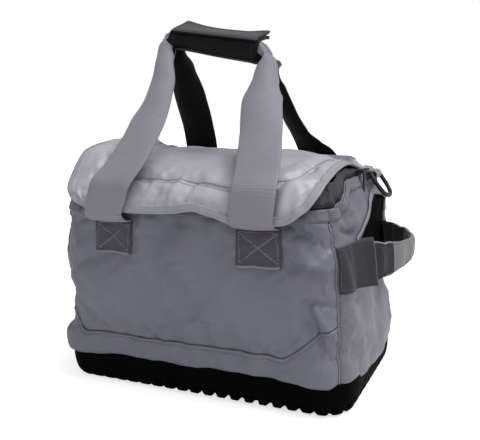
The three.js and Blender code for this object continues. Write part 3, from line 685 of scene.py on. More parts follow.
# ---------- the walls as one continuous surface ----------
# u runs anticlockwise seen from above, 12 to a lap: front -1..1, right 2..4, rear 5..7,
# left 8..10, with the corners between. q is the same in mm, 0 at the middle of the front.
# v runs up: 0..V_IN inside the tray, to V_SEAM at the yoke seam, to 1 at the mouth.
V_IN, V_SEAM = 0.10, 0.36
TRAY_IN_Z, TRAY_OUT_Z = 15.5, 39.5  # the wall's foot, and where it leaves the tray
FRONT_RUN, CORNER_RUN, END_RUN = 288, 44, 152
LAP = 2 * (FRONT_RUN + END_RUN) + 4 * CORNER_RUN
RIGHT_Q, REAR_Q, LEFT_Q = LAP / 4, LAP / 2, LAP * 3 / 4
Q_MARKS_U = [-2, -1, 1, 2, 4, 5, 7, 8, 10]
Q_MARKS = -FRONT_RUN / 2 - CORNER_RUN + np.cumsum(
    [0, CORNER_RUN, FRONT_RUN, CORNER_RUN, END_RUN, CORNER_RUN, FRONT_RUN, CORNER_RUN, END_RUN])

WALL_PROFILE = [  # z, half length, half depth
    (8, 166.2, 97.7), (40, 166.2, 97.7), (48, 169.5, 101), (62, 172.5, 104.5), (100, 174, 107),
    (150, 171, 106.5), (200, 165.5, 104.5), (226, 161.8, 103), (260, 157, 101),
]
half_x = table([(z, length) for z, length, _ in WALL_PROFILE])
half_y = table([(z, depth) for z, _, depth in WALL_PROFILE])
corner_r = table([(40, CORNER_R + 3.5), (60, CORNER_R)])

BLOBS = [  # soft swellings: q, z, reach along, reach up, height
    (0, 120, 170, 75, 2.5), (264, 47, 120, 11, 4.5), (792, 48, 110, 11, 4.0),
    (0, 47, 170, 9, 1.0), (40, 90, 70, 30, 1.2), (-60, 150, 60, 50, 1.0),
    (-205, 50, 75, 17, 9.5), (-185, 98, 60, 24, -5.0), (-212, 165, 60, 60, -4.5),
    (-216, 112, 50, 34, -4.0), (-200, 205, 40, 24, 1.5), (-205, 46, 60, 12, 3.0),
    (-190, 205, 40, 18, 2.0), (-190, 226, 40, 9, -2.5), (330, 60, 80, 24, 5.0),
    (312, 116, 60, 28, -8.0), (306, 212, 50, 24, 6.5), (225, 80, 60, 40, 3.0),
    (206, 214, 15, 20, 3.4), (205, 186, 14, 10, -2.0), (528, 120, 160, 70, 4.0),
    (264, 60, 90, 24, 2.5), (792, 60, 60, 24, 2.0),
]
CREASES = [  # q0, z0, q1, z1, height, half width
    (116, 176, 164, 158, 2.8, 5.5), (118, 164, 160, 148, -2.6, 5.0),
    (122, 150, 168, 176, 2.0, 6.0), (134, 128, 156, 72, -3.2, 4.5),
    (127, 120, 146, 82, -2.0, 3.5), (141, 124, 166, 84, 2.4, 5.5),
    (118, 205, 160, 184, -2.4, 5.0), (124, 214, 166, 200, 2.4, 5.0),
    (116, 192, 150, 168, 1.8, 5.0), (128, 127, 168, 121, -1.5, 2.6),
    (112, 158, 128, 128, 1.8, 6.0), (60, 156, 44, 118, 1.0, 9.0),
    (-64, 160, -30, 120, -1.2, 10.0), (-116, 176, -164, 150, 2.2, 6.0),
    (-118, 160, -166, 128, -2.4, 6.0), (-112, 205, -160, 190, -1.8, 5.0),
    (-130, 120, -168, 84, 2.0, 7.0), (-150, 110, -120, 74, -1.6, 5.0),
    (-40, 200, 30, 196, -1.0, 5.0), (-170, 60, -120, 46, 1.2, 5.0),
    (100, 66, 168, 52, 1.4, 6.0), (172, 130, 204, 118, -1.6, 4.0),
    (172, 106, 230, 84, 1.4, 7.0), (176, 232, 200, 196, -1.6, 3.5),
    (186, 226, 214, 204, 1.4, 4.0), (250, 92, 330, 60, -2.2, 8.0),
    (300, 100, 356, 84, 2.2, 7.0), (344, 150, 372, 96, -2.2, 6.0),
    (180, 196, 214, 184, -2.2, 3.5), (420, 150, 470, 90, -1.8, 8.0),
    (640, 160, 600, 96, -1.8, 8.0), (500, 60, 590, 54, 1.2, 7.0),
    (700, 150, 690, 80, 2.0, 8.0), (740, 92, 820, 70, -2.0, 8.0),
    (830, 190, 866, 150, -2.0, 6.0), (440, 204, 520, 190, -1.4, 6.0),
    (560, 196, 650, 206, -1.2, 6.0), (300, 200, 352, 214, 1.8, 6.0),
    (340, 190, 360, 160, -1.6, 5.0),
]
CORNER_SEAMS_Q = (168, -168, 360, 696)

# outline of the end pockets: y, z
ARCH = Spline([
    (-53, 166), (-49, 178), (-34, 185), (-15, 191), (-1, 200), (9, 211), (22, 217), (40, 216),
    (58, 209), (72, 199), (80, 184), (80, 164), (77, 144), (70, 130), (57, 122), (40, 119),
    (22, 120), (2, 124), (-20, 130), (-38, 139), (-49, 151)], closed=True)
ARCH_POINTS = 160
ARCH_LINE = ARCH.even(np.linspace(0, 1, ARCH_POINTS + 1)[:-1])
ARCH_MID = np.array([20.0, 160.0])


def lap_u(count):
    """Evenly spaced u for one lap."""
    return np.arange(count) / count * 12 - 2


def wall_base(u, z):
    """The plain wall, without relief."""
    u, z = np.broadcast_arrays(np.asarray(u, float), np.asarray(z, float))
    u = (u + 2) % 12 - 2
    a, b, r = half_x(z), half_y(z), corner_r(z)
    cx, cy = a - r, b - r
    angles = [first + (u - start) * np.pi / 2
              for first, start in ((-np.pi, -2), (-np.pi / 2, 1), (0, 4), (np.pi / 2, 7))]
    dx = [r * np.cos(angle) for angle in angles]
    dy = [r * np.sin(angle) for angle in angles]
    parts = [u <= stop for stop in (-1, 1, 2, 4, 5, 7, 8, 10)]
    x = np.select(parts, [-cx + dx[0], u * cx, cx + dx[1], a,
                          cx + dx[2], (6 - u) * cx, -cx + dx[3], -a])
    y = np.select(parts, [-cy + dy[0], -b, -cy + dy[1], (u - 3) * cy,
                          cy + dy[2], b, cy + dy[3], (9 - u) * cy])
    return np.stack([x, y, z + 0 * u], -1)


def base_outward(u, z):
    """Level unit normal of the plain wall."""
    along = wall_base(u + 0.01, z) - wall_base(u - 0.01, z)
    normal = np.stack([along[..., 1], -along[..., 0], 0 * z], -1)
    return normal / np.linalg.norm(normal, axis=-1, keepdims=True)


def wall_rim(u):
    """Height of the mouth: low along the front, dipping a little towards the rear right."""
    base = wall_base(u, 225.0)
    x, y = base[..., 0], base[..., 1]
    level = mix(RIM_FRONT_Z, RIM_SIDE_Z, smooth((y + 92) / 62))
    return level - 5.0 * smooth((x - 90) / 70) * smooth((y - 20) / 80)


def seam_at(u):
    """Height of the yoke seam, which rises towards the two front corners."""
    base = wall_base(u, SEAM_Z)
    x, y = base[..., 0], base[..., 1]
    fade = 1 - smooth((y + 92) / 150)
    rise = np.where(x > 0, 37 * smooth((x - 108) / 60), 28 * smooth((-x - 136) / 36))
    return SEAM_Z + fade * rise


def q_of(u):
    return np.interp((np.asarray(u, float) + 2) % 12 - 2, Q_MARKS_U, Q_MARKS)


def q_from(q, middle):
    """Signed distance round the wall from middle."""
    return (q - middle + LAP / 2) % LAP - LAP / 2


def wall_z(u, v):
    seam, rim = seam_at(u), wall_rim(u)
    return np.where(
        v < V_IN, mix(TRAY_IN_Z, TRAY_OUT_Z, v / V_IN),
        np.where(v < V_SEAM, mix(TRAY_OUT_Z, seam, (v - V_IN) / (V_SEAM - V_IN)),
                 mix(seam, rim, (v - V_SEAM) / (1 - V_SEAM))))


def v_of(u, z):
    seam, rim = seam_at(u), wall_rim(u)
    return np.where(
        z < TRAY_OUT_Z, (z - TRAY_IN_Z) / (TRAY_OUT_Z - TRAY_IN_Z) * V_IN,
        np.where(z < seam, V_IN + (z - TRAY_OUT_Z) / (seam - TRAY_OUT_Z) * (V_SEAM - V_IN),
                 V_SEAM + (z - seam) / (rim - seam) * (1 - V_SEAM)))


def arch_inside(y, z):
    """1 well inside the pocket's outline, 0 outside it."""
    y, z = np.broadcast_arrays(y - ARCH_MID[0], z - ARCH_MID[1])
    line = ARCH_LINE - ARCH_MID
    reach = np.interp(np.arctan2(z, y), np.arctan2(line[:, 1], line[:, 0]),
                      np.hypot(line[:, 0], line[:, 1]), period=2 * np.pi)
    return smooth((reach - np.hypot(y, z)) / 7.0)


def wall_relief(u, z):
    """How far the wall stands out from its plain shape."""
    q = q_of(u)
    out = np.zeros(np.broadcast(q, z).shape)
    for middle, blob_z, reach, reach_z, height in BLOBS:
        out += height * np.exp(-((q_from(q, middle) / reach) ** 2) - ((z - blob_z) / reach_z) ** 2)
    for q0, z0, q1, z1, height, width in CREASES:
        gain = 2.0 if 95 < q0 < 215 else 1.2  # deeper round the front right corner
        out += crease(q_from(q, q0), z - z0, q1 - q0, z1 - z0, height, width) * gain
    # ripples: 7, 15 and 31 waves to the lap, slanting with height
    k = 2 * np.pi / LAP
    out += (0.8 * np.sin(7 * k * q + z / 31 + 1.3) * np.sin(z / 47 + 0.6)
            + 0.55 * np.sin(15 * k * q - z / 19 + 4.0) + 0.35 * np.sin(31 * k * q + z / 13 + 2.0))
    # a swelling just above the tray
    out += 2.6 * np.exp(-(((z - 50) / 9) ** 2))
    above_tray = smooth((z - 38.4) / 5)
    out *= above_tray
    # seams: panels pull in where they are sewn and swell beside it
    for seam_q in CORNER_SEAMS_Q:
        dist = np.abs(q_from(q, seam_q))
        out += above_tray * (-1.5 * np.exp(-((dist / 2.6) ** 2))
                             + 0.9 * np.exp(-(((dist - 8) / 6) ** 2)))
    yoke = (np.abs(q_from(q, 0)) < 170) | (np.abs(q_from(q, REAR_Q)) < 170)
    dz = z - seam_at(u)
    out += np.where(yoke, 1.0, 0.0) * np.where(
        dz > 0, -0.7 * np.exp(-((dz / 2.6) ** 2)),
        0.5 * np.exp(-((dz / 4.0) ** 2)) - 0.9 * np.exp(-((dz / 0.9) ** 2)))
    # the wall is set back inside the pocket's outline on each end
    for middle, side in ((RIGHT_Q, 1), (LEFT_Q, -1)):
        out -= 2.6 * arch_inside(q_from(q, middle) * side, z)
    return out


def wall_plain(u, v):
    """The wall with its relief and sag, before the cloth run."""
    u, v = np.broadcast_arrays(np.asarray(u, float), np.asarray(v, float))
    z = wall_z(u, v)
    outward = base_outward(u, z)
    points = wall_base(u, z) + outward * wall_relief(u, z)[..., None]
    # at both ends and the front the cloth sags past the tray's edge: depth, middle, reach
    q = q_of(u)
    sag = sum(depth * np.exp(-((q_from(q, middle) / reach) ** 4))
              for depth, middle, reach in ((13.5, 262, 124), (7.0, 800, 125), (7.5, -10, 158)))
    fold = np.exp(-(((z - 44.0) / 5.4) ** 2)) * smooth((z - 38.8) / 3)
    points = points + outward * (0.4 * sag * fold)[..., None]
    points[..., 2] -= sag * fold
    return points


SIM_U, SIM_V = 168, 40


def drape_wall():
    """Lets the walls bulge as cloth, held at the tray, mouth, strap patches and yoke seams."""
    us = lap_u(SIM_U)
    u, v = grid(us, mix(V_IN, 1.0, np.linspace(0, 1, SIM_V)))
    plain = wall_plain(u, v)
    pins = np.zeros((SIM_U, SIM_V))
    pins[:, :2] = 1
    pins[:, -1] = 1
    pins[:, -2] = 0.5
    under_patch = ((np.abs(np.abs(plain[..., 0]) - STRAP_X) < 25) & (wall_z(u, v) > 156)
                   & (np.abs(plain[..., 1]) > 95))
    pins[under_patch] = 0.6
    seam_row = int(round((V_SEAM - V_IN) / (1 - V_IN) * (SIM_V - 1)))
    q = q_of(us)
    yoke = (np.abs(q_from(q, 0)) < 172) | (np.abs(q_from(q, REAR_Q)) < 172)
    for row in (seam_row - 1, seam_row, seam_row + 1):
        pins[yoke, row] = np.maximum(pins[yoke, row], 0.93)
    return drape(plain, pins, seed=11, jitter=0.35, wrap=True,
                 pressure=2.2, grow=0.035, bend=1.2, tension=12, cap=6.5)


WALL_DRAPE = drape_wall()


def wall(u, v):
    points = wall_plain(u, v)
    if WALL_DRAPE is not None:
        shift = cubic_at(WALL_DRAPE, ((u + 2) % 12) / 12 * SIM_U,
                         (v - V_IN) / (1 - V_IN) * (SIM_V - 1), True)
        share = smooth((v - V_IN * 0.9) / 0.05) * (0.2 + 0.8 * smooth((wall_z(u, v) - 42) / 16))
        points = points + shift * share[..., None]
    return points


FINE_U, FINE_V = 840, 170
WALL_GRID = wall(*grid(lap_u(FINE_U), np.linspace(0, 1, FINE_V)))


def wall_quick(u, v):
    return cubic_at(WALL_GRID, ((u + 2) % 12) / 12 * FINE_U,
                    np.clip(v, 0, 1) * (FINE_V - 1), True)


def wall_at(u, v, off=0.0, du=0.02, dv=0.008):
    """Points off the wall by a distance, and outward normals taken over du and dv."""
    u, v = np.broadcast_arrays(np.asarray(u, float), np.asarray(v, float))
    along = wall_quick(u + du, v) - wall_quick(u - du, v)
    upward = wall_quick(u, np.minimum(v + dv, 1)) - wall_quick(u, np.maximum(v - dv, 0))
    normals = unit(np.cross(along, upward))
    return wall_quick(u, v) + normals * np.asarray(off, float)[..., None], normals


def wall_at_z(u, z, off=0.0, **reach):
    return wall_at(u, v_of(u, z), off, **reach)


def wall_at_xz(x, z, rear, off):
    """The front or rear wall, from x and height."""
    u = x / (half_x(z) - corner_r(z))
    return wall_at_z(6 - u if rear else u, z, off)


def end_at_yz(y, z, side, off):
    """The right (side 1) or left (-1) end wall, from y and height."""
    u = 3 + y / (half_y(z) - corner_r(z))
    return wall_at_z(12 - u if side < 0 else u, z, off, du=0.03, dv=0.012)


# ---------- wall panels ----------
SEAM_U = 1.55  # the corner seams, from the middle of the front and rear
FRONT_SPAN, REAR_SPAN = (-SEAM_U, SEAM_U), (6 - SEAM_U, 6 + SEAM_U)
PANELS = [  # frame piece, u span, v span, steps along and up, material
    ("front_panel", FRONT_SPAN, (V_SEAM, 1.0), (150, 70), "body"),
    ("front_yoke", FRONT_SPAN, (0.0, V_SEAM), (150, 30), "body"),
    ("rear_panel", REAR_SPAN, (V_SEAM, 1.0), (130, 60), "body"),
    ("rear_yoke", REAR_SPAN, (0.0, V_SEAM), (130, 26), "body"),
    # the gussets take the ends' copy of the fabric, darker as painted shade
    ("right_gusset", (SEAM_U, 6 - SEAM_U), (0.0, 1.0), (96, 104), "side"),
    ("left_gusset", (6 + SEAM_U, 12 - SEAM_U), (0.0, 1.0), (96, 104), "side"),
]
for piece, span_u, span_v, steps, material in PANELS:
    u, v = grid(np.linspace(*span_u, steps[0] + 1), np.linspace(*span_v, steps[1] + 1))
    outer = wall(u, v)
    normals = grid_normals(outer)
    inner = outer - normals * 2.4
    # the sewn edges turn in
    lip = np.zeros(u.shape)
    lip[0, :] = lip[-1, :] = lip[:, 0] = lip[:, -1] = 0.5
    make_sheet(piece + "_cloth", outer - normals * lip[..., None], inner, material, "root",
               uv=(q_of(u), wall_z(u, v)), stands_for=piece, slot="coated_fabric")

# corner seams: a folded ridge with a row of stitches beside it, two rows at the rear
for corner, u in (("front_right", SEAM_U), ("front_left", -SEAM_U),
                  ("rear_right", 6 - SEAM_U), ("rear_left", 6 + SEAM_U)):
    z = np.linspace(44, float(wall_rim(u)) - 14, 80)
    make("corner_ridge_" + corner, *sweep(*wall_at_z(u, z, 0.5), oval(0.95, 0.7)),
         "ridge", "root", stands_for="corner_piping_" + corner, slot="binding")
    rows = [stitches(*wall_at_z(u + du, z, 0.15), pitch=4.2, length=3.0, radius=0.28)
            for du in ((0.05,) if "front" in corner else (0.05, -0.05))]
    make("corner_stitches_" + corner, *joined(rows), "thread_dark", "root", slot="binding")

# yoke seams: a crease, its shade painted as a dark cord, above a rolled edge
for end, middle in (("front", 0.0), ("rear", 6.0)):
    u = np.linspace(middle - SEAM_U + 0.02, middle + SEAM_U - 0.02, 150)
    z = seam_at(u)
    make("yoke_crease_painted_shade_" + end, *sweep(*wall_at_z(u, z + 0.5, 0.1), oval(0.6, 0.5)),
         "seam", "root", stands_for="yoke_piping_" + end, slot="seam_cord")
    make("yoke_roll_" + end, *sweep(*wall_at_z(u, z - 1.4, 0.1), oval(1.1, 0.5)),
         "ridge", "root", slot="coated_fabric")
    row = stitches(*wall_at_z(u, z - 5.0, 0.1), pitch=4.0, length=2.9, radius=0.26)
    make("yoke_stitches_" + end, *row, "thread_dark", "root", slot="seam_cord")


# ---------- end pockets ----------
def pocket_mesh(side, word):
    """The gathered mesh, as rings shrinking from the outline to its middle."""
    turn = np.arange(ARCH_POINTS) * 2 * np.pi / ARCH_POINTS
    rings, uvs = [], []
    for size in np.linspace(0.04, 0.985, 22):
        yz = ARCH_MID + (ARCH_LINE - ARCH_MID) * size
        gather = (1.2 * np.sin(turn * 9 + size * 3)
                  * smooth((size - 0.25) / 0.5) * smooth((1 - size) / 0.12))
        off = 0.45 + 0.9 * smooth((1 - size) / 0.35) + 0.45 * gather
        rings.append(end_at_yz(yz[:, 0], yz[:, 1], side, off)[0])
        uvs.append(yz)
    outer, uvs = np.stack(rings, 1), np.stack(uvs, 1)
    make_sheet(word + "_pocket_mesh", outer, outer - [0.9 * side, 0, 0], "mesh", "root",
               uv=(uvs[..., 0], uvs[..., 1]), cup=True,
               stands_for=word + "_pocket_panel", slot="pocket_mesh")


def pocket_binding(side, word):
    """The tape round the pocket, stitched along both edges."""
    line = ARCH.even(np.linspace(0, 1, 201)[:-1])
    tape = sweep(*end_at_yz(*line.T, side, 1.5), rounded_box(3.2, 1.1, 0.9, 3), closed=True)
    make(word + "_pocket_binding_tape", *tape, "bind", "root",
         stands_for=word + "_pocket_binding", slot="binding")
    rows = []
    for inset in (1.9, -1.9):
        row = line + unit(line - ARCH_MID) * inset
        points, normals = end_at_yz(*row.T, side, 2.6)
        rows.append(stitches(np.concatenate([points, points[:1]]),
                             np.concatenate([normals, normals[:1]]),
                             pitch=3.8, length=2.8, radius=0.27))
    make(word + "_pocket_stitches", *joined(rows), "thread", "root", slot="binding")


for side, word in ((1, "right"), (-1, "left")):
    pocket_mesh(side, word)
    pocket_binding(side, word)


# ---------- liner ----------
def liner():
    """A cup just inside the walls: floor, turned-up foot, then the wall."""
    us = lap_u(168)
    foot = []
    for z, off in [(11.0, -14.0), (11.3, -10.5), (13, -7.8), (17, -6.2)]:
        zs = np.full(us.shape, float(z))
        foot.append(wall_base(us, zs) + base_outward(us, zs) * off)
    floor_rings = [foot[0] * [size, size, 1] + [0, 0, 0.15] for size in (0.08, 0.3, 0.55, 0.8)]
    sides = [wall_at(us, v, -5.2)[0] for v in np.linspace(0.09, 0.985, 40)]
    outer = np.stack(floor_rings + foot + sides, 1)
    make_sheet("liner_cup", outer, outer - grid_normals(outer, True) * 0.7, "liner", "root",
               uv=(q_of(us)[:, None], outer[..., 2]), cup=True,
               stands_for="inner_liner", slot="liner_fabric")


liner()

# ---------- lid surface ----------
# x runs along the bag; d is the distance back from the front lip over the top, to LID_L.
LID_CURVE = Spline([  # y, z, from the hinge forwards and down over the front
    (101, 254), (72, 259.5), (22, 263.5), (-34, 262), (-72, 255.5), (-98, 244), (-113, 230),
    (-120.3, 218), (-122, 208)])
LID_L = LID_CURVE.length
LIP = np.array([  # x, rise of the front lip
    (-135, 6.5), (-118, 6.5), (-102, 4.6), (-75, 2.6), (-50, 1.8), (-25, 2.2), (-3, 3.6),
    (10, 5.8), (20, 7.2), (26, 6.8), (33, 4.4), (44, 1.6), (53, -1.4), (62, -5.0), (72, -6.4),
    (95, -5.4), (120, -3.2), (135, -1.0)]).T
CHANNEL_LINE = smooth_line([  # quilting channel: x, d
    (-119, 215), (-119, 150), (-118, 100), (-111, 66), (-92, 50), (-50, 43.5), (-8, 41.5),
    (13, 39.5), (36, 36), (50, 34.5), (67, 37), (88, 43), (109, 49), (122, 58), (129, 76),
    (132, 105), (133, 138), (133, 175), (132, 215)], 170)
LID_CREASES = [  # x0, d0, x1, d1, height, half width
    (-70, 12, -52, 46, 1.6, 6), (-30, 8, -20, 44, -1.4, 6), (-8, 6, -2, 50, 2.2, 5),
    (8, 8, 16, 48, -1.8, 6), (30, 10, 36, 46, 1.3, 6), (112, 10, 128, 58, 2.6, 6),
    (122, 10, 146, 50, -2.2, 5), (104, 22, 118, 74, -1.8, 6), (60, 60, 90, 100, 1.2, 9),
    (-60, 60, -96, 110, -1.4, 9), (-128, 30, -110, 84, 2.0, 7), (-140, 34, -126, 96, -1.8, 6),
    (-20, 70, 40, 76, -1.2, 8), (-60, 110, 40, 104, 1.3, 12), (40, 130, 120, 122, -1.2, 10),
    (-140, 150, -60, 140, 1.4, 10), (-20, 170, 60, 182, -1.2, 10), (70, 150, 140, 170, 1.2, 9),
    (-100, 190, -20, 200, 1.0, 9), (128, 80, 150, 120, 1.5, 6),
]


def lid_half(d):
    """Half width of the lid, whose two front corners are rounded."""
    q = np.clip((LID_CORNER - np.asarray(d, float)) / LID_CORNER, 0, 1)
    return LID_HALF_X - (LID_HALF_X - LID_LIP_HALF) * (1 - np.sqrt(np.maximum(0, 1 - q * q)))


def lid_base(x, d):
    """The plain lid, drooping at its ends."""
    x, d = np.broadcast_arrays(np.asarray(x, float), np.asarray(d, float))
    yz = LID_CURVE.even(np.clip(1 - d / LID_L, 0, 1))
    end = np.minimum(1, np.abs(x) / LID_HALF_X)
    top = smooth((d - 20) / 60)
    sag = -4.5 * end**4 * top - 3.5 * (x / LID_HALF_X) * top * smooth((LID_L - d) / 40)
    return np.stack([x, yz[..., 0], yz[..., 1] + sag], -1)


def lid_lift(x, d, y):
    """Rise of the lid: up along the left side, down towards the rear right."""
    to_hinge = LID_L - d
    up = 10 * smooth((-x - 84) / 56) * smooth((d - 40) / 40) * smooth(to_hinge / 60)
    up = up - 3 * smooth((x - 60) / 90) * smooth((y + 30) / 100) * smooth(to_hinge / 40)
    up = up + 4 * smooth((-x - 90) / 50) * smooth((d - 34) / 24) * smooth(to_hinge / 60)
    up = up - 10 * smooth((x - 62) / 84) * smooth((y + 16) / 84) * np.maximum(
        smooth(to_hinge / 22), smooth((x - 126) / 18))
    return up + 4.2 * smooth((-x - 112) / 28) * smooth((d - 20) / 50)


def lid_relief(x, d):
    """How far the padding stands out: channel, hem groove, creases and ripples."""
    dist = np.full(x.shape, 1e9)
    for start, step in zip(CHANNEL_LINE[:-1], np.diff(CHANNEL_LINE, axis=0)):
        dist = np.minimum(dist, to_segment(x - start[0], d - start[1], *step)[1])
    out = -2.4 * np.exp(-((dist / 3.6) ** 2)) + 1.5 * np.exp(-(((dist - 13) / 9) ** 2))
    out = out * smooth((LID_L - d) / 20)
    edge = np.minimum(lid_half(d) - np.abs(x), d)
    out = out - 1.3 * np.exp(-(((edge - 10.5) / 2.6) ** 2))
    for x0, d0, x1, d1, height, width in LID_CREASES:
        out = out + crease(x - x0, d - d0, x1 - x0, d1 - d0, height, width)
    ripples = (0.8 * np.sin(x / 23 + d / 37 + 0.4) * np.sin(d / 29 + 1.0)
               + 0.4 * np.sin(x / 11 - d / 15))
    out = out + smooth((LID_L - d) / 30) * ripples
    return out * (0.2 + 0.8 * smooth(edge / 13))


def lid_plain(x, d):
    """The lid with its relief, before the cloth run."""
    base = lid_base(x, d)
    along = lid_base(x, d + 0.5) - lid_base(x, d - 0.5)
    normals = unit(np.cross(np.broadcast_to([1.0, 0, 0], along.shape), along))
    points = base + normals * lid_relief(x, d)[..., None]
    lip = np.interp(x, *LIP) * np.exp(-((d / 30) ** 2))
    points[..., 2] += lid_lift(x, d, base[..., 1]) + lip
    points[..., 1] += -1.6 * np.sin(x / 17.0 + 0.8) * np.exp(-d / 10)  # the lip waves
    points[..., 0] += 4.5 * smooth((-x - 104) / 30) * smooth((112 - d) / 60)
    return points


LID_SIM_X, LID_SIM_D = 58, 44


def drape_lid():
    """Lets the lid swell as cloth, held at its hinge, edges and quilting channel."""
    share, d = grid(np.linspace(-1, 1, LID_SIM_X), np.linspace(0, LID_L, LID_SIM_D))
    x = share * lid_half(d)
    pins = np.zeros(x.shape)
    pins[:, -2:] = 1
    pins[0, :] = pins[-1, :] = 0.85
    pins[1, :] = pins[-2, :] = 0.4
    pins[:, 0] = 0.8
    pins[:, 1] = 0.3
    for channel_x, channel_d in CHANNEL_LINE[::2]:
        near = np.hypot(x - channel_x, d - channel_d) < 4.0
        pins[near] = np.maximum(pins[near], 0.5)
    return drape(lid_plain(x, d), pins, seed=5, jitter=0.3,
                 pressure=1.6, grow=0.035, bend=1.0, tension=12, cap=5.0)


LID_DRAPE = drape_lid()


def lid_lookup(values, x, d):
    """Looks up a grid that spans the lid's width and length."""
    share = (np.clip(x / lid_half(d), -1, 1) + 1) / 2
    return cubic_at(values, share * (values.shape[0] - 1),
                    np.clip(d / LID_L, 0, 1) * (values.shape[1] - 1))


def lid(x, d):
    points = lid_plain(x, d)
    if LID_DRAPE is not None:
        edge = np.minimum(lid_half(d) - np.abs(x), d)
        loose = 0.15 + 0.85 * smooth(edge / 15)
        points = points + lid_lookup(LID_DRAPE, x, d) * loose[..., None]
    return points


share, d = grid(np.linspace(-1, 1, 261), np.linspace(0, LID_L, 201))
LID_GRID = lid(share * lid_half(d), d)


def lid_at(x, d, off=0.0):
    """Points off the lid by a distance, and its outward normals."""
    x, d = np.broadcast_arrays(np.asarray(x, float), np.asarray(d, float))
    step = 1.6
    half = lid_half(d)
    across = (lid_lookup(LID_GRID, np.clip(x + step, -half, half), d)
              - lid_lookup(LID_GRID, np.clip(x - step, -half, half), d))
    back = (lid_lookup(LID_GRID, x, np.minimum(d + step, LID_L))
            - lid_lookup(LID_GRID, x, np.maximum(d - step, 0)))
    normals = unit(np.cross(across, back))
    return lid_lookup(LID_GRID, x, d) + normals * off, normals


# ---------- lid pieces ----------
def lid_pad():
    """The padded lid, thin at its edges, with the liner fabric underneath."""
    ds = np.concatenate([np.linspace(0, 12, 8)[:-1], np.linspace(12, LID_L - 0.6, 88)])
    share, d = grid(np.linspace(-1, 1, 128), ds)
    x = share * lid_half(d)
    outer = lid(x, d)
    normals = grid_normals(outer)
    edge = np.minimum(np.minimum(lid_half(d) - np.abs(x), d), (LID_L - d) * 0.7)
    thick = 2.0 + 5.6 * smooth((edge - 4) / 20)
    inner = outer - normals * thick[..., None]
    outer = outer - normals * (0.5 * (edge < 0.5))[..., None]
    # the lid's outer face takes the lid's copy of the fabric, lightened as painted light from above
    make_sheet("lid_pad", outer, inner, "lid liner", "lid", uv=(x, d),
               stands_for="lid_panel lid_foam lid_lining", slot="lid_fabric")


def lid_hem():
    """A folded tape round the three free edges, with two rows of stitches."""
    inset = 4.3
    left = [(-LID_HALF_X + inset, d) for d in np.linspace(LID_L - 3, 50, 70)]
    left += [(-LID_LIP_HALF - (LID_HALF_X - inset - LID_LIP_HALF) * math.cos(angle),
              LID_CORNER - (LID_CORNER - inset) * math.sin(angle))
             for angle in np.linspace(0, math.pi / 2, 24)]
    front = [(x, inset) for x in np.linspace(-LID_LIP_HALF, LID_LIP_HALF, 92)[1:-1]]
    hem = resample(left + front + [(-x, d) for x, d in left[::-1]], 2.4)
    points, normals = lid_at(*hem.T, -1.0)
    count = np.arange(len(points))
    bulge = 1 + 0.08 * np.sin(count * 0.9) * np.sin(count * 0.23)
    section = rounded_box(4.6, 1.75, 1.5, 4)
    make("lid_hem_tape", *sweep(points, normals, [section * [1, b] for b in bulge]),
         "hem", "lid", stands_for="lid_hem", slot="lid_fabric")
    rows = []
    for shift in (3.0, -2.4):
        line = hem + left_of(hem) * shift
        line[:, 1] = np.maximum(line[:, 1], 0.5)
        rows.append(stitches(*lid_at(*line.T, 0.85), length=2.9, radius=0.22, lift=0.04))
    make("lid_hem_stitches", *joined(rows), "thread_mid", "lid", slot="lid_fabric")


def lid_quilting():
    """A row of stitches on each side of the channel."""
    rows = []
    for shift in (2.6, -2.6):
        line = resample(CHANNEL_LINE + left_of(CHANNEL_LINE) * shift, 2.0)
        rows.append(stitches(*lid_at(*line.T, 0.05), length=3.0, radius=0.4))
    make("lid_quilting", *joined(rows), "thread_dark", "lid", slot="lid_fabric")


def lid_hinge():
    """The fabric strip from the rear panel on to the lid."""
    xs = np.linspace(-132, 132, 60)
    edge_z = lid_at(xs, LID_L - 1.5)[0][:, 2]
    outer, inner = [], []
    for y, z in [(104.9, 226), (104.9, 234), (104.9, 242),
                 (104.7, 248), (104.2, 252.0), (103.2, 254.6)]:
        wobble = 0.4 * np.sin(xs / 19 + z / 9)
        zs = 226 + (z - 226) * (edge_z - 225.2) / 29.4  # stretched to meet the lid
        outer.append(np.stack([xs, y + 0.9 + wobble, zs], -1))
        inner.append(np.stack([xs, y - 0.3 + wobble, zs - 0.2], -1))
    for d in np.linspace(LID_L - 1.5, LID_L - 18, 8):
        points, normals = lid_at(xs, d, 1.0)
        outer.append(points)
        inner.append(points - normals * 1.1)
    outer, inner = np.stack(outer, 1), np.stack(inner, 1)
    make_sheet("lid_hinge_cloth", outer, inner, "body", uv=(xs[:, None], run_along(outer[30])),
               stands_for="lid_hinge_strip", slot="coated_fabric",
               blend=("root", "lid", (0, 0.1045, 0.2505), (0, 0.0985, 0.2585)))
    rows = [stitches(np.stack([xs, 0 * xs + 105.9, 0 * xs + z], -1), [0, 1.0, 0],
                     pitch=4, length=2.9, radius=0.28) for z in (229.0, 233.0)]
    make("hinge_stitches", *joined(rows), "thread_dark", "root", slot="coated_fabric")


lid_pad()
lid_hem()
lid_quilting()
lid_hinge()

# ---------- zip ----------
ZIP_U = 3.72  # the teeth run this far round on both sides of the front
ZIP_LINE = np.linspace(-ZIP_U, ZIP_U, 220)


def rim_point(u, dz, off):
    """Near the mouth: height above the rim, and distance outwards from the wall."""
    points, normals = wall_at(u, 1.0, off)
    points[..., 2] = wall_rim(u) + dz
    return points, normals


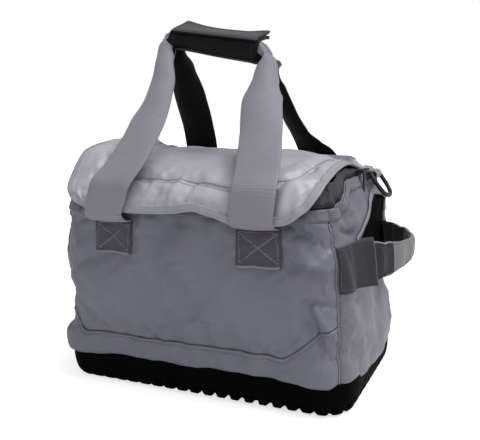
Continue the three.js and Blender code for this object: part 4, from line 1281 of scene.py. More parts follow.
def zip_tape_lower():
    rim = wall_rim(ZIP_LINE)
    outer, inner = [], []
    for drop in (0.8, 2.2, 4.5, 7, 9.5, 12):
        points, normals = wall_at_z(ZIP_LINE, rim - drop, 1.5)
        outer.append(points)
        inner.append(points - normals * 0.9)
    make_sheet("zip_tape_lower", np.stack(outer, 1), np.stack(inner, 1), "tape", "root",
               uv=(np.linspace(0, 12, 6), np.linspace(0, 620, len(ZIP_LINE))[:, None]),
               stands_for="zip_tape_body", slot="zip_tape")
    row = stitches(*wall_at_z(ZIP_LINE, rim - 10.2, 1.6), pitch=3.8, length=2.8, radius=0.26)
    make("zip_stitches", *row, "thread_dark", "root", slot="zip_tape")


def zip_teeth():
    """Two staggered rows of small tapered blocks on a cord."""
    rise, off = 2.6, -2.2
    parts = [sweep(rim_point(ZIP_LINE, rise, off)[0], [0, 0, 1.0], oval(0.8, 1.3))]
    points, normals = rim_point(np.linspace(-ZIP_U, ZIP_U, 251), rise, off)
    along = unit(np.gradient(points, axis=0))
    corners = [(x, y, z) for z in (-1, 1) for x, y in ((-1, -1), (1, -1), (1, 1), (-1, 1))]
    faces = np.array([[0, 3, 2, 1], [4, 5, 6, 7], [0, 1, 5, 4],
                      [1, 2, 6, 5], [2, 3, 7, 6], [3, 0, 4, 7]])
    firsts = (np.arange(len(points)) * 8)[:, None, None]
    for row in (1, -1):
        centre = points + np.array([0, 0, 1.15 * row]) + along * (0.6 * row)
        blocks = []
        for x, y, z in corners:
            size = 0.75 if z * row > 0 else 1.0
            blocks.append(centre + along * x * 0.55 * size + normals * y * 1.15 * size
                          + np.array([0, 0, 1.2 * z]))
        parts.append((np.stack(blocks, 1).reshape(-1, 3), (faces[None] + firsts).reshape(-1, 4)))
    make("zip_teeth", *joined(parts), "coil", "root", stands_for="zip_coil", slot="zip_coil")


def zip_tape_upper():
    """The tape from the teeth up to the underside of the lid."""
    us = np.linspace(-4.84, 4.84, 420)
    low, normals = rim_point(us, 4.4, -1.6)
    low[:, 2] -= 4.6 * smooth((np.abs(us) - ZIP_U + 0.04) / 0.14)  # lower beyond the teeth
    high, _ = rim_point(us, 4.4, -9.5)
    x, d = grid(np.clip(high[:, 0], -146, 146), np.linspace(0, LID_L, 160))
    under = lid_at(x, d, -6.6)[0]
    top = np.array([np.interp(y, line[:, 1], line[:, 2])
                    for y, line in zip(high[:, 1], under)]) - 0.6
    outer, inner = [], []
    for t in (0, 0.2, 0.4, 0.6, 0.8, 1.0):
        points = mix(low, high, t)
        points[:, 2] = mix(low[:, 2], top, t) + 1.5 * math.sin(math.pi * t) * np.sin(us * 4)
        outer.append(points)
        inner.append(points - normals * 0.7 - [0, 0, 0.5])
    # the upper tape is coloured dark grey as painted shade under the lid's edge
    make_sheet("zip_tape_upper", np.stack(outer, 1), np.stack(inner, 1), "tape_lid", "lid",
               uv=(run_along(low)[:, None], np.linspace(0, 24, 6)),
               stands_for="zip_tape_lid", slot="zip_tape")


zip_tape_lower()
zip_teeth()
zip_tape_upper()

# ---------- carry webbing ----------
GRIP_C, GRIP_TILT, GRIP_HALF = np.array([-2.0, 0, 393]), math.radians(11), 55
GRIP_ALONG = np.array([math.cos(GRIP_TILT), 0, -math.sin(GRIP_TILT)])
GRIP_UP = np.array([math.sin(GRIP_TILT), 0, math.cos(GRIP_TILT)])


def on_grip(t, y, up):
    """A place given along the grip, front to back, and up from it."""
    t, y, up = (np.asarray(value, float)[..., None] for value in (t, y, up))
    return GRIP_C + GRIP_ALONG * t + GRIP_UP * up + np.array([0, 1, 0]) * y


HALF_W, HALF_T = WEB / 2, WEB_T / 2
RIGHT, LEFT, FORWARD, BACK = [1, 0, 0], [-1, 0, 0], [0, -1, 0], [0, 1, 0]
# stations of each strap: point, direction of its width, half chord, half thickness
FRONT_STRAP = [
    ([-88, -107.6, 197.6], RIGHT, HALF_W, HALF_T), ([-88, -113.5, 198.8], RIGHT, HALF_W, HALF_T),
    ([-88, -120.5, 200.4], RIGHT, HALF_W, HALF_T), ([-88, -126.2, 204.6], RIGHT, HALF_W, HALF_T),
    ([-87.9, -128, 212], RIGHT, HALF_W, HALF_T), ([-83, -128, 226], RIGHT, HALF_W, HALF_T),
    ([-75, -127, 243], RIGHT, HALF_W, HALF_T), ([-63, -107, 270], RIGHT, HALF_W, HALF_T),
    ([-58, -78, 306], RIGHT, 23, HALF_T), ([-59, -48, 343], [0.95, -0.3, 0], 18.5, 1.6),
    ([-64, -26, 372], [0.7, -0.68, 0.2], 12, 2.4), ([-65.5, -14, 387], [0.2, -1, 0], 6.5, 3),
    (on_grip(-61, -9.5, -4), FORWARD, 4.5, 6.4), (on_grip(-52, -8.5, -3), FORWARD, 5.0, 9.5),
    (on_grip(-38, -8.5, -3.4), FORWARD, 5.0, 9.4), (on_grip(0, -8.5, -3.4), FORWARD, 5.0, 9.6),
    (on_grip(38, -8.5, -3.4), FORWARD, 5.0, 10), (on_grip(52, -8.5, -3), FORWARD, 5.0, 10.4),
    (on_grip(60, -9.5, -7), FORWARD, 4.6, 7.8), ([65.5, -14, 366], [-0.2, -1, 0], 6.0, 3),
    ([68.5, -28, 351], [-0.8, -0.6, -0.1], 12.5, 2.2), ([71, -50, 327], [-0.97, -0.2, 0], 21.5, 1.4),
    ([81, -80, 290], LEFT, 23.5, HALF_T), ([89, -108, 260], LEFT, HALF_W, HALF_T),
    ([92, -127, 240], LEFT, HALF_W, HALF_T), ([90, -128, 225], LEFT, HALF_W, HALF_T),
    ([88.1, -128, 212], LEFT, HALF_W, HALF_T), ([88, -126.2, 204.6], LEFT, HALF_W, HALF_T),
    ([88, -120.5, 200.4], LEFT, HALF_W, HALF_T), ([88, -113.5, 198.8], LEFT, HALF_W, HALF_T),
    ([88, -107.6, 197.6], LEFT, HALF_W, HALF_T),
]
REAR_STRAP = [
    ([-88, 108.6, 197.5], RIGHT, HALF_W, HALF_T), ([-88, 110.2, 203], RIGHT, HALF_W, HALF_T),
    ([-88, 111, 208.5], RIGHT, HALF_W, HALF_T), ([-88, 111, 234], RIGHT, HALF_W, HALF_T),
    ([-90, 110, 262], RIGHT, HALF_W, HALF_T), ([-86, 92, 292], RIGHT, 23, HALF_T),
    ([-79, 62, 328], [0.95, 0.25, 0], 20, 1.6), ([-71, 34, 362], [0.8, 0.6, 0], 14, 2.2),
    ([-66, 14, 388], [0.1, 1, 0], 6, 3), (on_grip(-62, 7.5, -1), BACK, 4.3, 6.5),
    (on_grip(-52, 5.5, -3), BACK, 4.6, 9), (on_grip(-38, 5.5, -3), BACK, 4.6, 9.5),
    (on_grip(0, 5.5, -3), BACK, 4.6, 9.6), (on_grip(38, 5.5, -3), BACK, 4.6, 9.8),
    (on_grip(52, 5.5, -3), BACK, 4.6, 9.8), (on_grip(59, 7.0, -7), BACK, 4.5, 7.2),
    ([57, 13, 366], [-0.1, 1, 0], 5.5, 3), ([52, 34, 347], [-0.42, 0.9, 0], 12.5, 2.2),
    ([53, 62, 316], [-0.58, 0.81, 0], 20, 1.6), ([57, 92, 286], [-0.74, 0.67, 0], 23, HALF_T),
    ([71, 109, 261], [-0.93, 0.36, 0], HALF_W, HALF_T), ([88, 111, 234], LEFT, HALF_W, HALF_T),
    ([88, 111, 208.5], LEFT, HALF_W, HALF_T), ([88, 110.2, 203], LEFT, HALF_W, HALF_T),
    ([88, 108.6, 197.5], LEFT, HALF_W, HALF_T),
]
# half chord of the curled webbing, and the half angle it has curled through
CURL_CHORDS, CURL_ANGLES = [6, 11, 18, 23, 23.8, 24], [2.47, 1.93, 1.22, 0.5, 0.24, 0.12]


def carry_strap(name, stations, face, **told):
    """A webbing ribbon: an arc across its width, closing to a flattened bundle in the grip.

    face is the side of the first sheet, -1 or 1.
    """
    points, widths, chords, thicks = zip(*stations)
    curve = Spline(points)
    along = np.linspace(0, 1, int(curve.length / 4.2))
    place = curve.param_of(along) * (len(stations) - 1)
    centre, tangent = curve.even(along), curve.tangent(along)
    width = between(widths, place)
    width = unit(width - tangent * (width * tangent).sum(1, keepdims=True))
    depth = np.cross(tangent, width)
    half, thick = between(chords, place), between(thicks, place)

    def spot(across, out):
        return centre + width * across[..., None] + depth * out[..., None]

    a = np.linspace(-1, 1, 24)[:, None]
    curl = np.interp(half, CURL_CHORDS, CURL_ANGLES)
    rise = HALF_W * (np.cos(a * curl) - np.cos(curl)) / curl
    arc = spot(HALF_W * np.sin(a * curl) / curl, rise.mean(0) - rise)
    normal = depth * np.cos(a * curl)[..., None] - width * np.sin(a * curl)[..., None]
    bundle = smooth((6.2 - half) / 1.2)[:, None]
    # the selvedges are a little thinner than the middle
    thin = (0.45 * smooth((np.abs(a) - 0.9) / 0.1))[..., None]
    sheets = []
    for sign in (face, -face):
        sheet = mix(arc + normal * HALF_T * sign, arc, thin)
        oval_half = spot(half * np.sin(a * math.pi / 2),
                         thick * np.sqrt(np.maximum(0, 1 - a * a)) * sign)
        sheets.append(mix(sheet, oval_half, bundle))
    make_sheet(name, *sheets, "web web_in", uv=(a * HALF_W, along * curve.length),
               slot="webbing_grey", **told)


carry_strap("front_carry_strap", FRONT_STRAP, -1, stands_for="front_handle_webbing",
            blend=("root", "front_handle", (0, -0.118, 0.2), (0, -0.128, 0.211)))
carry_strap("rear_carry_strap", REAR_STRAP, 1, stands_for="rear_handle_webbing",
            blend=("root", "rear_handle", (0, 0.110, 0.2005), (0, 0.111, 0.212)))


def strap_patch(end, side):
    """A sewn patch under a strap end, with its folded edge and box-and-cross stitching."""
    rear = end == "rear"
    odd = (end, side) == ("front", "left")  # this one sits higher and more askew
    centre = STRAP_X if side == "right" else -STRAP_X
    low, top = 161.5 if odd else 158.0, 197.0
    tilt = -1.6 if odd else 0.6

    def on_wall(x, z, off, rise=0.0):
        return wall_at_xz(x + centre + tilt * (1 - (z - low) / 40), z + rise, rear, off)

    x, z = grid(np.linspace(-24, 24, 17),
                np.concatenate([np.linspace(low, low + 6, 5)[:-1], np.linspace(low + 6, top, 13)]))
    off = (3.0 + 0.9 * np.exp(-(((z - low - 2) / 2.2) ** 2))
           + 0.25 * np.sin(x / 6 + np.sign(centre)) * np.sin(z / 7))
    # the stitching pulls the patch down along the cross and the sides
    slant = (z - low - 19) * 20 / 17
    cross = np.minimum(np.abs(x - slant), np.abs(x + slant))
    off = off - 0.6 * np.exp(-((cross / 1.6) ** 2)) * (z > low + 4) * (z < top - 1)
    off = off - 0.5 * np.exp(-(((np.abs(x) - 20.5) / 1.3) ** 2)) * (z > low + 3)
    wave = 0.5 * np.sin(x / 14 + 1) * np.exp(-(z - low) / 10)
    # the patch face takes the darkened webbing, painted shade; its folded edge keeps the plain grey
    # webbing
    make_sheet(f"{end}_patch_{side}", on_wall(x, z, off, wave)[0], on_wall(x, z, 0.35, wave)[0],
               "web_patch_painted_shade", "root", uv=(x, z),
               stands_for=f"{end}_strap_patch_{side}", slot="webbing_dark")

    x = np.linspace(-23.6, 23.6, 20)
    from_end = np.minimum(np.arange(20), np.arange(20)[::-1])
    fold = sweep(*on_wall(x, low, 3.2, 0.6 + 0.5 * np.sin(x / 14 + 1)), oval(1.5, 1.9, 12),
                 taper=np.clip(from_end / 1.5 + 0.45, 0, 1))
    make(f"{end}_patch_fold_{side}", *fold, "web", "root", slot="webbing_dark")

    edge, bottom, upper = 20.5, low + 4.2, top - 3.0
    lines = [((-edge, bottom), (edge, bottom)), ((edge, bottom), (edge, upper)),
             ((edge, upper), (-edge, upper)), ((-edge, upper), (-edge, bottom))]
    lines += [((x0 + shift, bottom), (-x0 + shift, upper))
              for x0 in (-edge,) for shift in (-0.7, 0.7)]
    lines += [((edge + shift, bottom), (-edge + shift, upper)) for shift in (-0.7, 0.7)]
    rows = [stitches(*on_wall(*np.linspace(a, b, 18).T, 2.75), pitch=3.2, length=2.6, radius=0.36)
            for a, b in lines]
    make(f"{end}_patch_stitches_{side}", *joined(rows), "thread", "root", slot="webbing_dark")


for side in ("left", "right"):
    for end in ("front", "rear"):
        strap_patch(end, side)

# ---------- wrapped grip ----------
# outlines across the grip: y, up
WRAP_OUTER = smooth_line([
    (15.6, 12.9), (10, 12.5), (2, 11.4), (-6, 9.7), (-12, 8.0), (-16.6, 5.2), (-18.9, 0.4),
    (-19.1, -5), (-18.6, -11), (-15.6, -15.8), (-9, -18.0), (0, -18.3), (9, -18.0),
    (14.4, -16.6), (15.8, -13.6)], 60)
WRAP_INNER = smooth_line([
    (15.4, 10.6), (9, 10.2), (2, 9.1), (-5, 7.5), (-10, 6.0), (-13.4, 3.4), (-14.8, -0.6),
    (-14.8, -5), (-14.3, -9.4), (-12.2, -12.3), (-8, -13.3), (0, -13.5), (8, -13.3),
    (12.4, -13.0), (14.8, -12.6)], 60)
FLAP_TOP = smooth_line([(-18.4, 6.6), (-14.6, 9.0), (-9, 11.0), (-2, 13.0), (5, 15.0),
                        (11, 17.0), (16.6, 19.2)], 24)
FLAP_LOW = smooth_line([(-17.6, 4.6), (-13.8, 6.9), (-8.4, 9.0), (-1.4, 11.0), (5.6, 13.0),
                        (11.6, 15.0), (17.2, 17.2)], 24)
GRIP_STEPS = 66
GRIP_STITCH = dict(pitch=3.4, length=2.7, radius=0.34)


def wrap_ring(outline, t):
    """The wrap's outline at t along the grip, puckered and leaning with t."""
    y, up = outline.T
    front = np.cos(np.arctan2(up, y))
    y = y + (-0.5 * np.sin(t / 9.0) * front - 0.35 * np.sin(t / 4.3 + 1) * (front < 0))
    k = (t + GRIP_HALF) / (2 * GRIP_HALF)
    up = up + (3.0 * (1 - k) * smooth(-up / 18) + (-1.4 + 2.6 * k) * smooth((up + 4) / 10))
    return on_grip(t, y, up * (1 + 0.01 * np.sin(t / 12.0 + 1)))


def flap_ring(outline, t):
    """The flap's outline at t: its rear edge dips in the middle and springs up to the right."""
    y, up = outline.T
    back = np.clip((y + 18) / 35, 0, 1)
    k = (t + GRIP_HALF) / (2 * GRIP_HALF)
    up = up + ((-1.4 + 2.6 * k) * (1 - back) - 3.6 * np.maximum(0, 1 - (t / 50) ** 2) * back**1.6
               + 1.6 * smooth((t - 24) / 26) * back**2)
    return on_grip(t, y, up + 0.35 * np.sin(t / 13.0 + 0.6) * back)


def grip_sheet(name, outer, inner, ring, reach, mats, **told):
    """A sheet along the grip from its two outlines."""
    sheets = [np.stack([ring(line, t) for t in np.linspace(-reach, reach, GRIP_STEPS)])
              for line in (outer, inner)]
    uv = (np.linspace(-GRIP_HALF, GRIP_HALF, GRIP_STEPS)[:, None], run_along(outer))
    make_sheet(name, *sheets, mats, uv=uv, slot="grip_neoprene", **told)


def grip_wrap():
    """The C-shaped wrap, its bound ends, and the stitching."""
    grip_sheet("grip_body", WRAP_OUTER, WRAP_INNER, wrap_ring, 55, "grip liner",
               body="front_handle", stands_for="grip_wrap")
    thick = np.linalg.norm(WRAP_OUTER - WRAP_INNER, axis=1)
    sections = [rounded_box(2.0, wide / 2 + 0.35, 1.0, 4) for wide in thick]
    for end, t in (("a", -54.2), ("b", 54.2)):
        ring = wrap_ring((WRAP_OUTER + WRAP_INNER) / 2, t)
        make(f"grip_binding_{end}", *sweep(ring, GRIP_ALONG, sections),
             "grip", "front_handle", slot="grip_neoprene")
    proud = WRAP_OUTER - left_of(WRAP_OUTER) * 0.1
    rows = []
    for t in (-50.5, 50.5):
        ring = wrap_ring(proud, t)
        rows.append(stitches(ring, unit(ring - on_grip(t, 0, 0)), **GRIP_STITCH))
    line = np.stack([wrap_ring(proud, t)[-4] for t in np.linspace(-50, 50, 60)])
    rows.append(stitches(line, -GRIP_UP, **GRIP_STITCH))
    make("grip_stitches", *joined(rows), "thread_black", "front_handle", slot="grip_neoprene")


def flap_track(outline, reach, count, low, high):
    """A track round the flap at +-reach along it and outline points low and high."""
    ts = np.linspace(-reach, reach, count)
    track = [(t, low) for t in ts] + [(reach, j) for j in range(low + 1, high)]
    track += [(t, high) for t in ts[::-1]] + [(-reach, j) for j in range(high - 1, low, -1)]
    return np.stack([flap_ring(outline, t)[j] for t, j in track])


def grip_flap():
    """The flap over the top of the grip, hinged along its front edge."""
    blend = ("front_handle", "grip_flap", (0, -0.0175, 0.4), (0, -0.008, 0.4))
    grip_sheet("grip_flap_cover", FLAP_TOP, FLAP_LOW, flap_ring, 54.5, "grip_top",
               stands_for="grip_flap", blend=blend)
    row = stitches(flap_track(FLAP_TOP, 51.5, 50, 2, 21), GRIP_UP,
                   pitch=3.3, length=2.6, radius=0.34)
    make("grip_flap_stitches", *row, "thread_black", slot="grip_neoprene", blend=blend)
    rim = (flap_track(FLAP_TOP, 53.8, 60, 0, 23) + flap_track(FLAP_LOW, 53.8, 60, 0, 23)) / 2
    make("grip_flap_binding", *sweep(rim, GRIP_UP, oval(1.25, 1.2), closed=True),
         "grip", slot="grip_neoprene", blend=blend)


grip_wrap()
grip_flap()

# ---------- end grab handles ----------
HANDLE_STATIONS = [  # point on the right-hand loop, half height, half thickness
    ([184.5, -54, 155.5], 22.5, 1.6), ([191.5, -46, 156.2], 20.6, 2.0),
    ([202, -34, 157.2], 17.0, 2.8), ([213, -14, 158.6], 13.2, 3.8),
    ([217.5, 7, 159.4], 11.6, 4.2), ([215, 29, 158.6], 12.8, 3.8),
    ([203, 47, 156.5], 18.5, 2.8), ([191, 55, 155.7], 21.6, 2.0), ([184.5, 60, 155.5], 22.5, 1.6),
]
HANDLE_WRINKLES = [  # ring and angle at the start, the same at the end, height, half width
    (10, 0.4, 30, 2.6, 0.9, 2.4), (16, 3.6, 34, 5.6, -0.8, 2.4), (24, 1.1, 40, 2.1, 0.7, 2.6),
    (96, 0.5, 112, 2.8, 0.8, 2.6), (100, 3.5, 122, 5.8, -0.8, 2.4),
    (54, 4.0, 80, 4.6, 0.6, 3.0), (60, 1.3, 84, 1.9, -0.5, 3.0),
]
HANDLE_SIM_RINGS, HANDLE_SIM_ROUND = 54, 26
HANDLE_RINGS, HANDLE_ROUND = 132, 52
ANCHOR_LOW, ANCHOR_TOP = 133.3, 178.7


def handle_surface():
    """Rings of points along the right-hand loop, and the loop's length."""
    points, heights, thicks = zip(*HANDLE_STATIONS)
    curve = Spline(points)
    along = np.linspace(0, 1, HANDLE_SIM_RINGS)
    place = curve.param_of(along) * (len(HANDLE_STATIONS) - 1)
    half = (between(heights, place) + 0.5)[:, None]
    thick = between(thicks, place)[:, None] - 0.35
    centre, tangent = curve.even(along)[:, None], curve.tangent(along)
    outward = unit(np.cross(tangent, np.broadcast_to([0, 0, 1.0], tangent.shape)))
    upward = unit(np.cross(outward, tangent))
    upward *= np.sign(upward[:, 2:3])
    angle = np.arange(HANDLE_SIM_ROUND) / HANDLE_SIM_ROUND * 2 * np.pi
    cos, sin = np.cos(angle), np.sin(angle)
    across = half * np.sign(cos) * np.abs(cos) ** 0.55
    depth = thick * np.sign(sin) * np.abs(sin) ** 0.8
    # the pad leans outwards at the top and in at the bottom
    lean = 0.9 * np.sin(along * math.pi)[:, None] * (across / half)
    surface = (centre + upward[:, None] * across[..., None]
               + outward[:, None] * (depth + lean)[..., None])
    pins = np.zeros(surface.shape[:2])
    pins[:2] = pins[-2:] = 1
    pins[2:4] = pins[-4:-2] = 0.6
    edges = np.abs(cos) > 0.985
    pins[:, edges] = np.maximum(pins[:, edges], 0.35)
    noise = np.random.default_rng(11).normal(0, 0.12, surface.shape[:2] + (1,))
    spoke = surface - centre
    start = surface + spoke / np.linalg.norm(spoke, axis=-1, keepdims=True) * noise
    surface = surface + cloth(start, tube_faces(*surface.shape[:2]), pins,
                              pressure=4, grow=0.02, bend=0.8, tension=14, cap=2.2)
    ring, spot = grid(np.linspace(0, HANDLE_SIM_RINGS - 1, HANDLE_RINGS),
                      np.arange(HANDLE_ROUND) / 2)
    fine = cubic_at(np.swapaxes(surface, 0, 1), spot, ring, True)
    ring, angle = grid(np.arange(HANDLE_RINGS), np.arange(HANDLE_ROUND) / HANDLE_ROUND * 2 * np.pi)
    relief = sum(crease(ring - ring0, (angle - angle0) * 8, ring1 - ring0, (angle1 - angle0) * 8,
                        height, width, power=0.7)
                 for ring0, angle0, ring1, angle1, height, width in HANDLE_WRINKLES)
    spoke = unit(fine - fine.mean(1, keepdims=True))
    return fine + spoke * relief[..., None] * 0.8, curve.length


def grab_handle(surface, length, side, name):
    """The padded loop with its bound, stitched edges."""
    body = f"side_handle_{name}"
    surface = surface * [side, 1, 1]
    if side < 0:  # the left loop lies closer to the wall, most of all towards the front
        close = 0.22 + 0.5 * smooth((surface[..., 1] + 34) / 60)
        surface[..., 0] = -184.5 + (surface[..., 0] + 184.5) * close
    ring = np.repeat(np.arange(HANDLE_RINGS - 1), HANDLE_ROUND)
    face_mats = np.concatenate([np.where((ring < 34) | (ring > 104), 1, 0), [1, 1]])
    uv = np.stack(grid(np.linspace(0, length, HANDLE_RINGS),
                       np.linspace(0, 110, HANDLE_ROUND)), -1).reshape(-1, 2)
    make(f"grab_handle_{name}", surface, tube_faces(HANDLE_RINGS, HANDLE_ROUND),
         "sidegrip web_side", body, uv, face_mats, stands_for=body, slot="side_handle_fabric")

    def edge_line(j, trim):
        rings = surface[trim:-trim]
        return rings[:, j], unit(rings[:, j] - rings.mean(1))

    parts = []
    for j in (0, HANDLE_ROUND // 2):
        line, normals = edge_line(j, 1)
        parts.append(sweep(line + normals * 0.1, normals, oval(1.9, 0.95, 10)))
    make(f"grab_handle_binding_{name}", *joined(parts), "sidegrip", body,
         slot="side_handle_fabric")
    rows = [stitches(*edge_line(j, 3), length=2.8) for j in (2, 24, 28, 50)]
    make(f"grab_handle_stitches_{name}", *joined(rows), "thread_dark", body,
         slot="side_handle_fabric")


def handle_anchor(side, name, rear):
    """A stitched patch that lifts off the wall where the loop leaves it."""
    end, back = ("rear", 1) if rear else ("front", -1)
    odd = side < 0 and not rear  # front left: starts nearer the end and lies flatter

    def on_wall(s, t, off):
        u = mix(1.7 if odd else 1.6, 2.24, s)
        u = (6 - u if rear else u) * side
        return wall_at_z(u, mix(ANCHOR_LOW, ANCHOR_TOP, t), off)[0:2]

    s, t = grid(np.linspace(0, 1, 26), np.linspace(0, 1, 16))
    lift = ((9 if side > 0 else 5) * np.clip((s - 0.72) / 0.28, 0, 1) ** 1.4
            * (1 - 0.12 * np.sin(np.pi * t)))
    edge = np.minimum(np.minimum(t, 1 - t) * 45 - 3, s * 40 - 3)
    off = ((1.5 if odd else 2.6) + lift + 0.25 * np.sin(s * 15 + t * 5)
           - 0.5 * np.exp(-((edge / 1.4) ** 2)) * (s < 0.8))
    # the end runs on under the pad of the loop
    onward = np.array([0.80 * side, -0.60 * back, 0.0])
    sheets = []
    for sheet_off in (off, off - 1.9 - 0.3 * (lift <= 0.1)):
        points = on_wall(s, t, sheet_off)[0]
        tail = [points[-1] + onward * 2.6 * (i + 1) for i in range(4)]
        sheets.append(np.concatenate([points, tail]))
    uv = (run_along(sheets[0][:, 8])[:, None], np.linspace(0, ANCHOR_TOP - ANCHOR_LOW, 16))
    make_sheet(f"handle_anchor_{end}_{name}", *sheets, "web_side", uv=uv,
               stands_for=f"side_handle_anchor_{end}_{name}", slot="webbing_dark",
               blend=("root", f"side_handle_{name}", (0.18 * side, 0.066 * back, 0.156),
                      (0.188 * side, 0.047 * back, 0.156)))
    box = [(0.06, 0.07), (0.7, 0.07), (0.7, 0.93), (0.06, 0.93), (0.06, 0.07)]
    rows = [stitches(*on_wall(*np.linspace(a, b, 16).T, 2.6), pitch=3.4, radius=0.34)
            for a, b in zip(box, box[1:])]
    make(f"handle_anchor_stitches_{end}_{name}", *joined(rows), "thread_dark", "root",
         slot="webbing_dark")


surface, length = handle_surface()
for side, name in ((1, "right"), (-1, "left")):
    grab_handle(surface, length, side, name)
    for rear in (False, True):
        handle_anchor(side, name, rear)

# ---------- D-rings in webbing keepers ----------
RING_C, RING_REST = np.array([171.5, 40, 238]), math.radians(-55)
RING_HALF, RING_REACH = 18, 29
KEEPER_FOOT = [(161.6, 222.5), (163.6, 226.2), (166.4, 230.6)]  # x, z


def bezier(p0, p1, p2, p3, count):
    t = np.linspace(0, 1, count)[:, None]
    return ((1 - t) ** 3 * np.array(p0) + 3 * (1 - t) ** 2 * t * np.array(p1)
            + 3 * (1 - t) * t * t * np.array(p2) + t**3 * np.array(p3))


def ring_outline():
    """The D in its own plane: reach from the bar, and y. The far half mirrors the first."""
    half, reach = RING_HALF, RING_REACH
    corner = bezier((0, half - 5), (0, half - 1.6), (1.6, half), (5, half), 8)
    bow = bezier((reach - 17, half), (reach - 4, half), (reach, half - 9), (reach, 0), 24)
    upper = np.concatenate([corner, bow])
    lower = upper[::-1][1:] * [1, -1]
    return resample(np.roll(np.concatenate([upper, lower]), 1, axis=0), 1.3, closed=True)


def d_ring(side, name):
    cos, sin = math.cos(RING_REST), math.sin(RING_REST)
    reach, y = ring_outline().T
    path = np.stack([RING_C[0] + reach * cos, RING_C[1] + y, RING_C[2] + reach * sin], -1)
    wire = sweep(path * [side, 1, 1], [-sin * side, 0, cos], oval(2.65, 2.45, 18), closed=True)
    make(f"ring_{name}", *wire, "ring", f"d_ring_{name}",
         stands_for=f"d_ring_{name}", slot="ring_plastic")


def ring_keeper(side, name):
    """A loop of webbing round the ring's bar, both ends in the seam of the mouth."""
    loop = [(RING_C[0] + 4.6 * math.cos(angle), RING_C[2] + 4.6 * math.sin(angle))
            for angle in np.linspace(-2.0, 2.05, 22)]
    line = KEEPER_FOOT + loop + [(166.2, 242.6), (163.6, 241.0)]
    profile = resample(smooth_line(line, 90), 1.0)
    x, z = profile.T[..., None]
    out_x, out_z = -left_of(profile).T[..., None]
    ys = np.linspace(-11, 11, 13)
    half = 0.85 - 0.25 * smooth((np.abs(ys) - 9) / 2)
    sheets = [np.stack(np.broadcast_arrays(x + out_x * thick, RING_C[1] + ys, z + out_z * thick),
                       -1) * [side, 1, 1] for thick in (half, -half)]
    make_sheet(f"keeper_loop_{name}", *sheets, "web", "root",
               uv=(ys, np.arange(len(profile))[:, None] * 1.0),
               stands_for=f"ring_keeper_{name}", slot="webbing_grey")
    foot_x, foot_z = zip(*KEEPER_FOOT)
    rows = []
    for z in (226.0, 229.0):
        x = np.interp(z, foot_z, foot_x) + 0.85
        row = np.stack([np.full(12, x), RING_C[1] + np.linspace(-9.5, 9.5, 12),
                        np.full(12, z)], -1)
        rows.append(stitches(row * [side, 1, 1], [0.86 * side, 0, -0.5], pitch=2.9, length=2.3))
    make(f"keeper_stitches_{name}", *joined(rows), "thread_dark", "root", slot="webbing_grey")


for side, name in ((1, "right"), (-1, "left")):
    d_ring(side, name)
    ring_keeper(side, name)

# ---------- moulded tray ----------
TRAY_HALF_X, TRAY_HALF_Y, TRAY_R = 181.0, 106.4, 37.0
LUGS, LUG_STEPS = 62, 14
TRAY_STEPS = LUGS * LUG_STEPS
TRAY_OUTSIDE = [  # z, inset, from the underside to the rolled top edge
    (0.0, 17.0), (0.0, 13.0), (0.4, 10.2), (1.6, 7.6), (3.6, 5.4), (6.2, 3.8), (9.2, 2.6),
    (12.2, 1.8), (14.2, 1.4), (15.6, 1.1), (19, 0.6), (23, 0.3), (28, 0.15), (33, 0.05),
    (36.2, 0.0), (37.4, 0.35), (38.0, 1.3)]
TRAY_INSIDE = [  # z, inset, from the top edge to the inside floor
    (38.0, 3.2), (37.2, 4.2), (35.5, 4.5), (24, 4.55), (15, 4.6), (10.5, 6.0), (7.6, 9.4),
    (6.1, 14.0), (6.0, 19.0)]


def tray_path(inset):
    """A rounded rectangle by arc length, anticlockwise from the middle of the right end."""
    a, b, r = TRAY_HALF_X - inset, TRAY_HALF_Y - inset, max(8.0, TRAY_R - inset)
    out = np.concatenate([[(a, 0)], rounded_box(a, b, r, 32), [(a, 0)]])
    run = run_along(out)
    where = np.linspace(0, run[-1], TRAY_STEPS + 1)[:-1]
    return np.stack([np.interp(where, run, column) for column in out.T], -1)


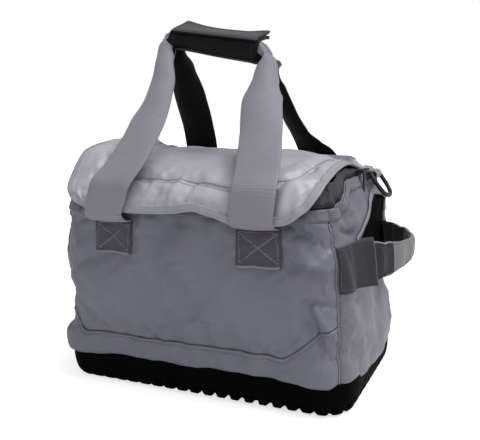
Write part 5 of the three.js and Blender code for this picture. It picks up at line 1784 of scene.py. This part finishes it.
def tray():
    count = np.arange(TRAY_STEPS)
    phase = (count % LUG_STEPS) / LUG_STEPS
    to_gap = np.abs(np.where(phase > 0.5, phase - 1, phase))
    gap = 1 - smooth((to_gap - 0.05) / 0.24)  # 1 in the gap between lugs, 0 on a lug
    rows = []
    for z, inset in TRAY_OUTSIDE:
        path = tray_path(inset)
        along = np.roll(path, -1, 0) - np.roll(path, 1, 0)
        outward = unit(np.stack([along[:, 1], -along[:, 0]], -1))
        path = path - outward * (gap * 3.4 * smooth((15.2 - z) / 2.4))[:, None]
        zs = z + gap * 3.2 * smooth((7 - z) / 6)
        # the rolled top edge waves slightly
        zs = zs + 0.4 * np.sin(count / TRAY_STEPS * 2 * np.pi * 9) * smooth((z - 30) / 8)
        rows.append(np.column_stack([path, zs]))
    rows += [np.column_stack([tray_path(inset), np.full(TRAY_STEPS, z)])
             for z, inset in TRAY_INSIDE]
    points = np.stack(rows, 1).reshape(-1, 3)
    height = len(rows)
    faces = grid_faces(TRAY_STEPS, height, True).tolist()
    # underside and inside floor: shrinking rings round a middle point
    under, floor = count * height, count * height + height - 1
    first = len(points)
    apex = first + 6 * TRAY_STEPS
    extra = [points[under] * [size, size, flat] for size, flat in ((0.86, 1), (0.6, 1), (0.3, 0.5))]
    extra += [points[floor] * [size, size, 1] for size in (0.86, 0.6, 0.3)]
    points = np.concatenate([points] + extra + [[(0, 0, 0.2), (0, 0, 6.0)]])
    rings = [first + i * TRAY_STEPS + count for i in range(6)]
    for rim, inner_rings, middle, quad, triangle in (
            (under, rings[:3], apex, [0, 1, 2, 3], [0, 1, 2]),
            (floor, rings[3:], apex + 1, [0, 3, 2, 1], [0, 2, 1])):
        for ring in inner_rings:
            faces += band(rim, ring)[:, quad].tolist()
            rim = ring
        fan = np.stack([rim, np.roll(rim, -1), np.full(TRAY_STEPS, middle)], -1)
        faces += fan[:, triangle].tolist()
    make("tray", points, faces, "tray", "root", stands_for="base_tray", slot="tray_eva")


tray()

# ---------- frame pieces kept as they are ----------
for name, key in (("zip_slider", "slider"), ("zip_pull", "pull"), ("base_board", "board")):
    ob = bpy.data.objects.get(name)
    if ob is not None and ob.type == "MESH":  # the frame may lack a piece
        ob.data.materials.clear()
        ob.data.materials.append(MATERIALS[key])


# ---------- stage, light and camera, in metres ----------
def backdrop():
    """A pale floor that the camera, but no other ray, sees lifted towards white."""
    half, z = 6, -0.0004
    mesh = bpy.data.meshes.new("floor")
    mesh.from_pydata([(-half, -half, z), (half, -half, z), (half, half, z), (-half, half, z)],
                     [], [(0, 1, 2, 3)])
    ob = bpy.data.objects.new("floor", mesh)
    mat = Shader("floor")
    path = mat.add("ShaderNodeLightPath")
    lift = mat.math("MULTIPLY", path.outputs["Is Camera Ray"], 0.66)
    for key, value in {"Base Color": (0.76, 0.76, 0.76, 1), "Roughness": 0.75,
                       "Emission Color": (1, 1, 1, 1), "Emission Strength": lift}.items():
        mat.put(mat.principled.inputs[key], value)
    mesh.materials.append(mat.material)
    scene.collection.objects.link(ob)


def white_world(light, seen):
    """A white world, with one strength for lighting and one for the camera."""
    world = bpy.data.worlds.new("world")
    scene.world = world
    world.use_nodes = True
    tree = world.node_tree
    background = tree.nodes["Background"]
    background.inputs["Color"].default_value = (1, 1, 1, 1)
    camera_ray = tree.nodes.new("ShaderNodeLightPath").outputs["Is Camera Ray"]
    level = tree.nodes.new("ShaderNodeMapRange")
    tree.links.new(camera_ray, level.inputs[0])
    level.inputs[3].default_value = light
    level.inputs[4].default_value = seen
    tree.links.new(level.outputs[0], background.inputs["Strength"])


def sun_light(name, toward, strength, angle):
    """A sun lying in the direction toward; angle is its spread in degrees."""
    light = bpy.data.lights.new(name, "SUN")
    light.energy, light.angle = strength, math.radians(angle)
    ob = bpy.data.objects.new(name, light)
    ob.rotation_euler = Vector(toward).to_track_quat("Z", "Y").to_euler()
    scene.collection.objects.link(ob)


def area_light(name, at, to, size, power):
    light = bpy.data.lights.new(name, "AREA")
    light.shape = "RECTANGLE"
    light.size, light.size_y = size
    light.energy = power
    ob = bpy.data.objects.new(name, light)
    ob.location = at
    ob.rotation_euler = (Vector(to) - Vector(at)).to_track_quat("-Z", "Y").to_euler()
    scene.collection.objects.link(ob)


def camera(at, lens, pan, tilt, roll):
    """A camera turned left from +y by pan, down by tilt, and rolled; angles in degrees."""
    data = bpy.data.cameras.new("camera")
    data.sensor_width = 36
    data.sensor_fit = "HORIZONTAL"
    data.lens = lens
    data.clip_start, data.clip_end = 0.01, 50
    ob = bpy.data.objects.new("camera", data)
    pan, tilt, roll = map(math.radians, (pan, tilt, roll))
    ahead = Vector((-math.sin(pan) * math.cos(tilt), math.cos(pan) * math.cos(tilt),
                    -math.sin(tilt)))
    level = Vector((math.cos(pan), math.sin(pan), 0))
    above = level.cross(ahead)
    right = math.cos(roll) * level + math.sin(roll) * above
    up = -math.sin(roll) * level + math.cos(roll) * above
    axes = zip(right, up, -ahead, at)
    ob.matrix_world = Matrix((*axes, (0, 0, 0, 1)))
    scene.collection.objects.link(ob)
    scene.camera = ob


backdrop()
white_world(light=0.40, seen=1.0)
sun_light("key", toward=(0.62, 0.2, 1.55), strength=2.05, angle=32)
area_light("fill", at=(0.9, -1.9, 1.5), to=(0.1, 0.0, 0.14), size=(1.0, 0.8), power=7)
area_light("edge", at=(1.3, -0.5, 1.7), to=(0.17, 0.0, 0.22), size=(0.6, 0.6), power=4)
camera(at=(0.346, -0.695, 0.325), lens=48.6, pan=25.3, tilt=10.4, roll=-1.9)
scene.view_settings.view_transform = "Standard"
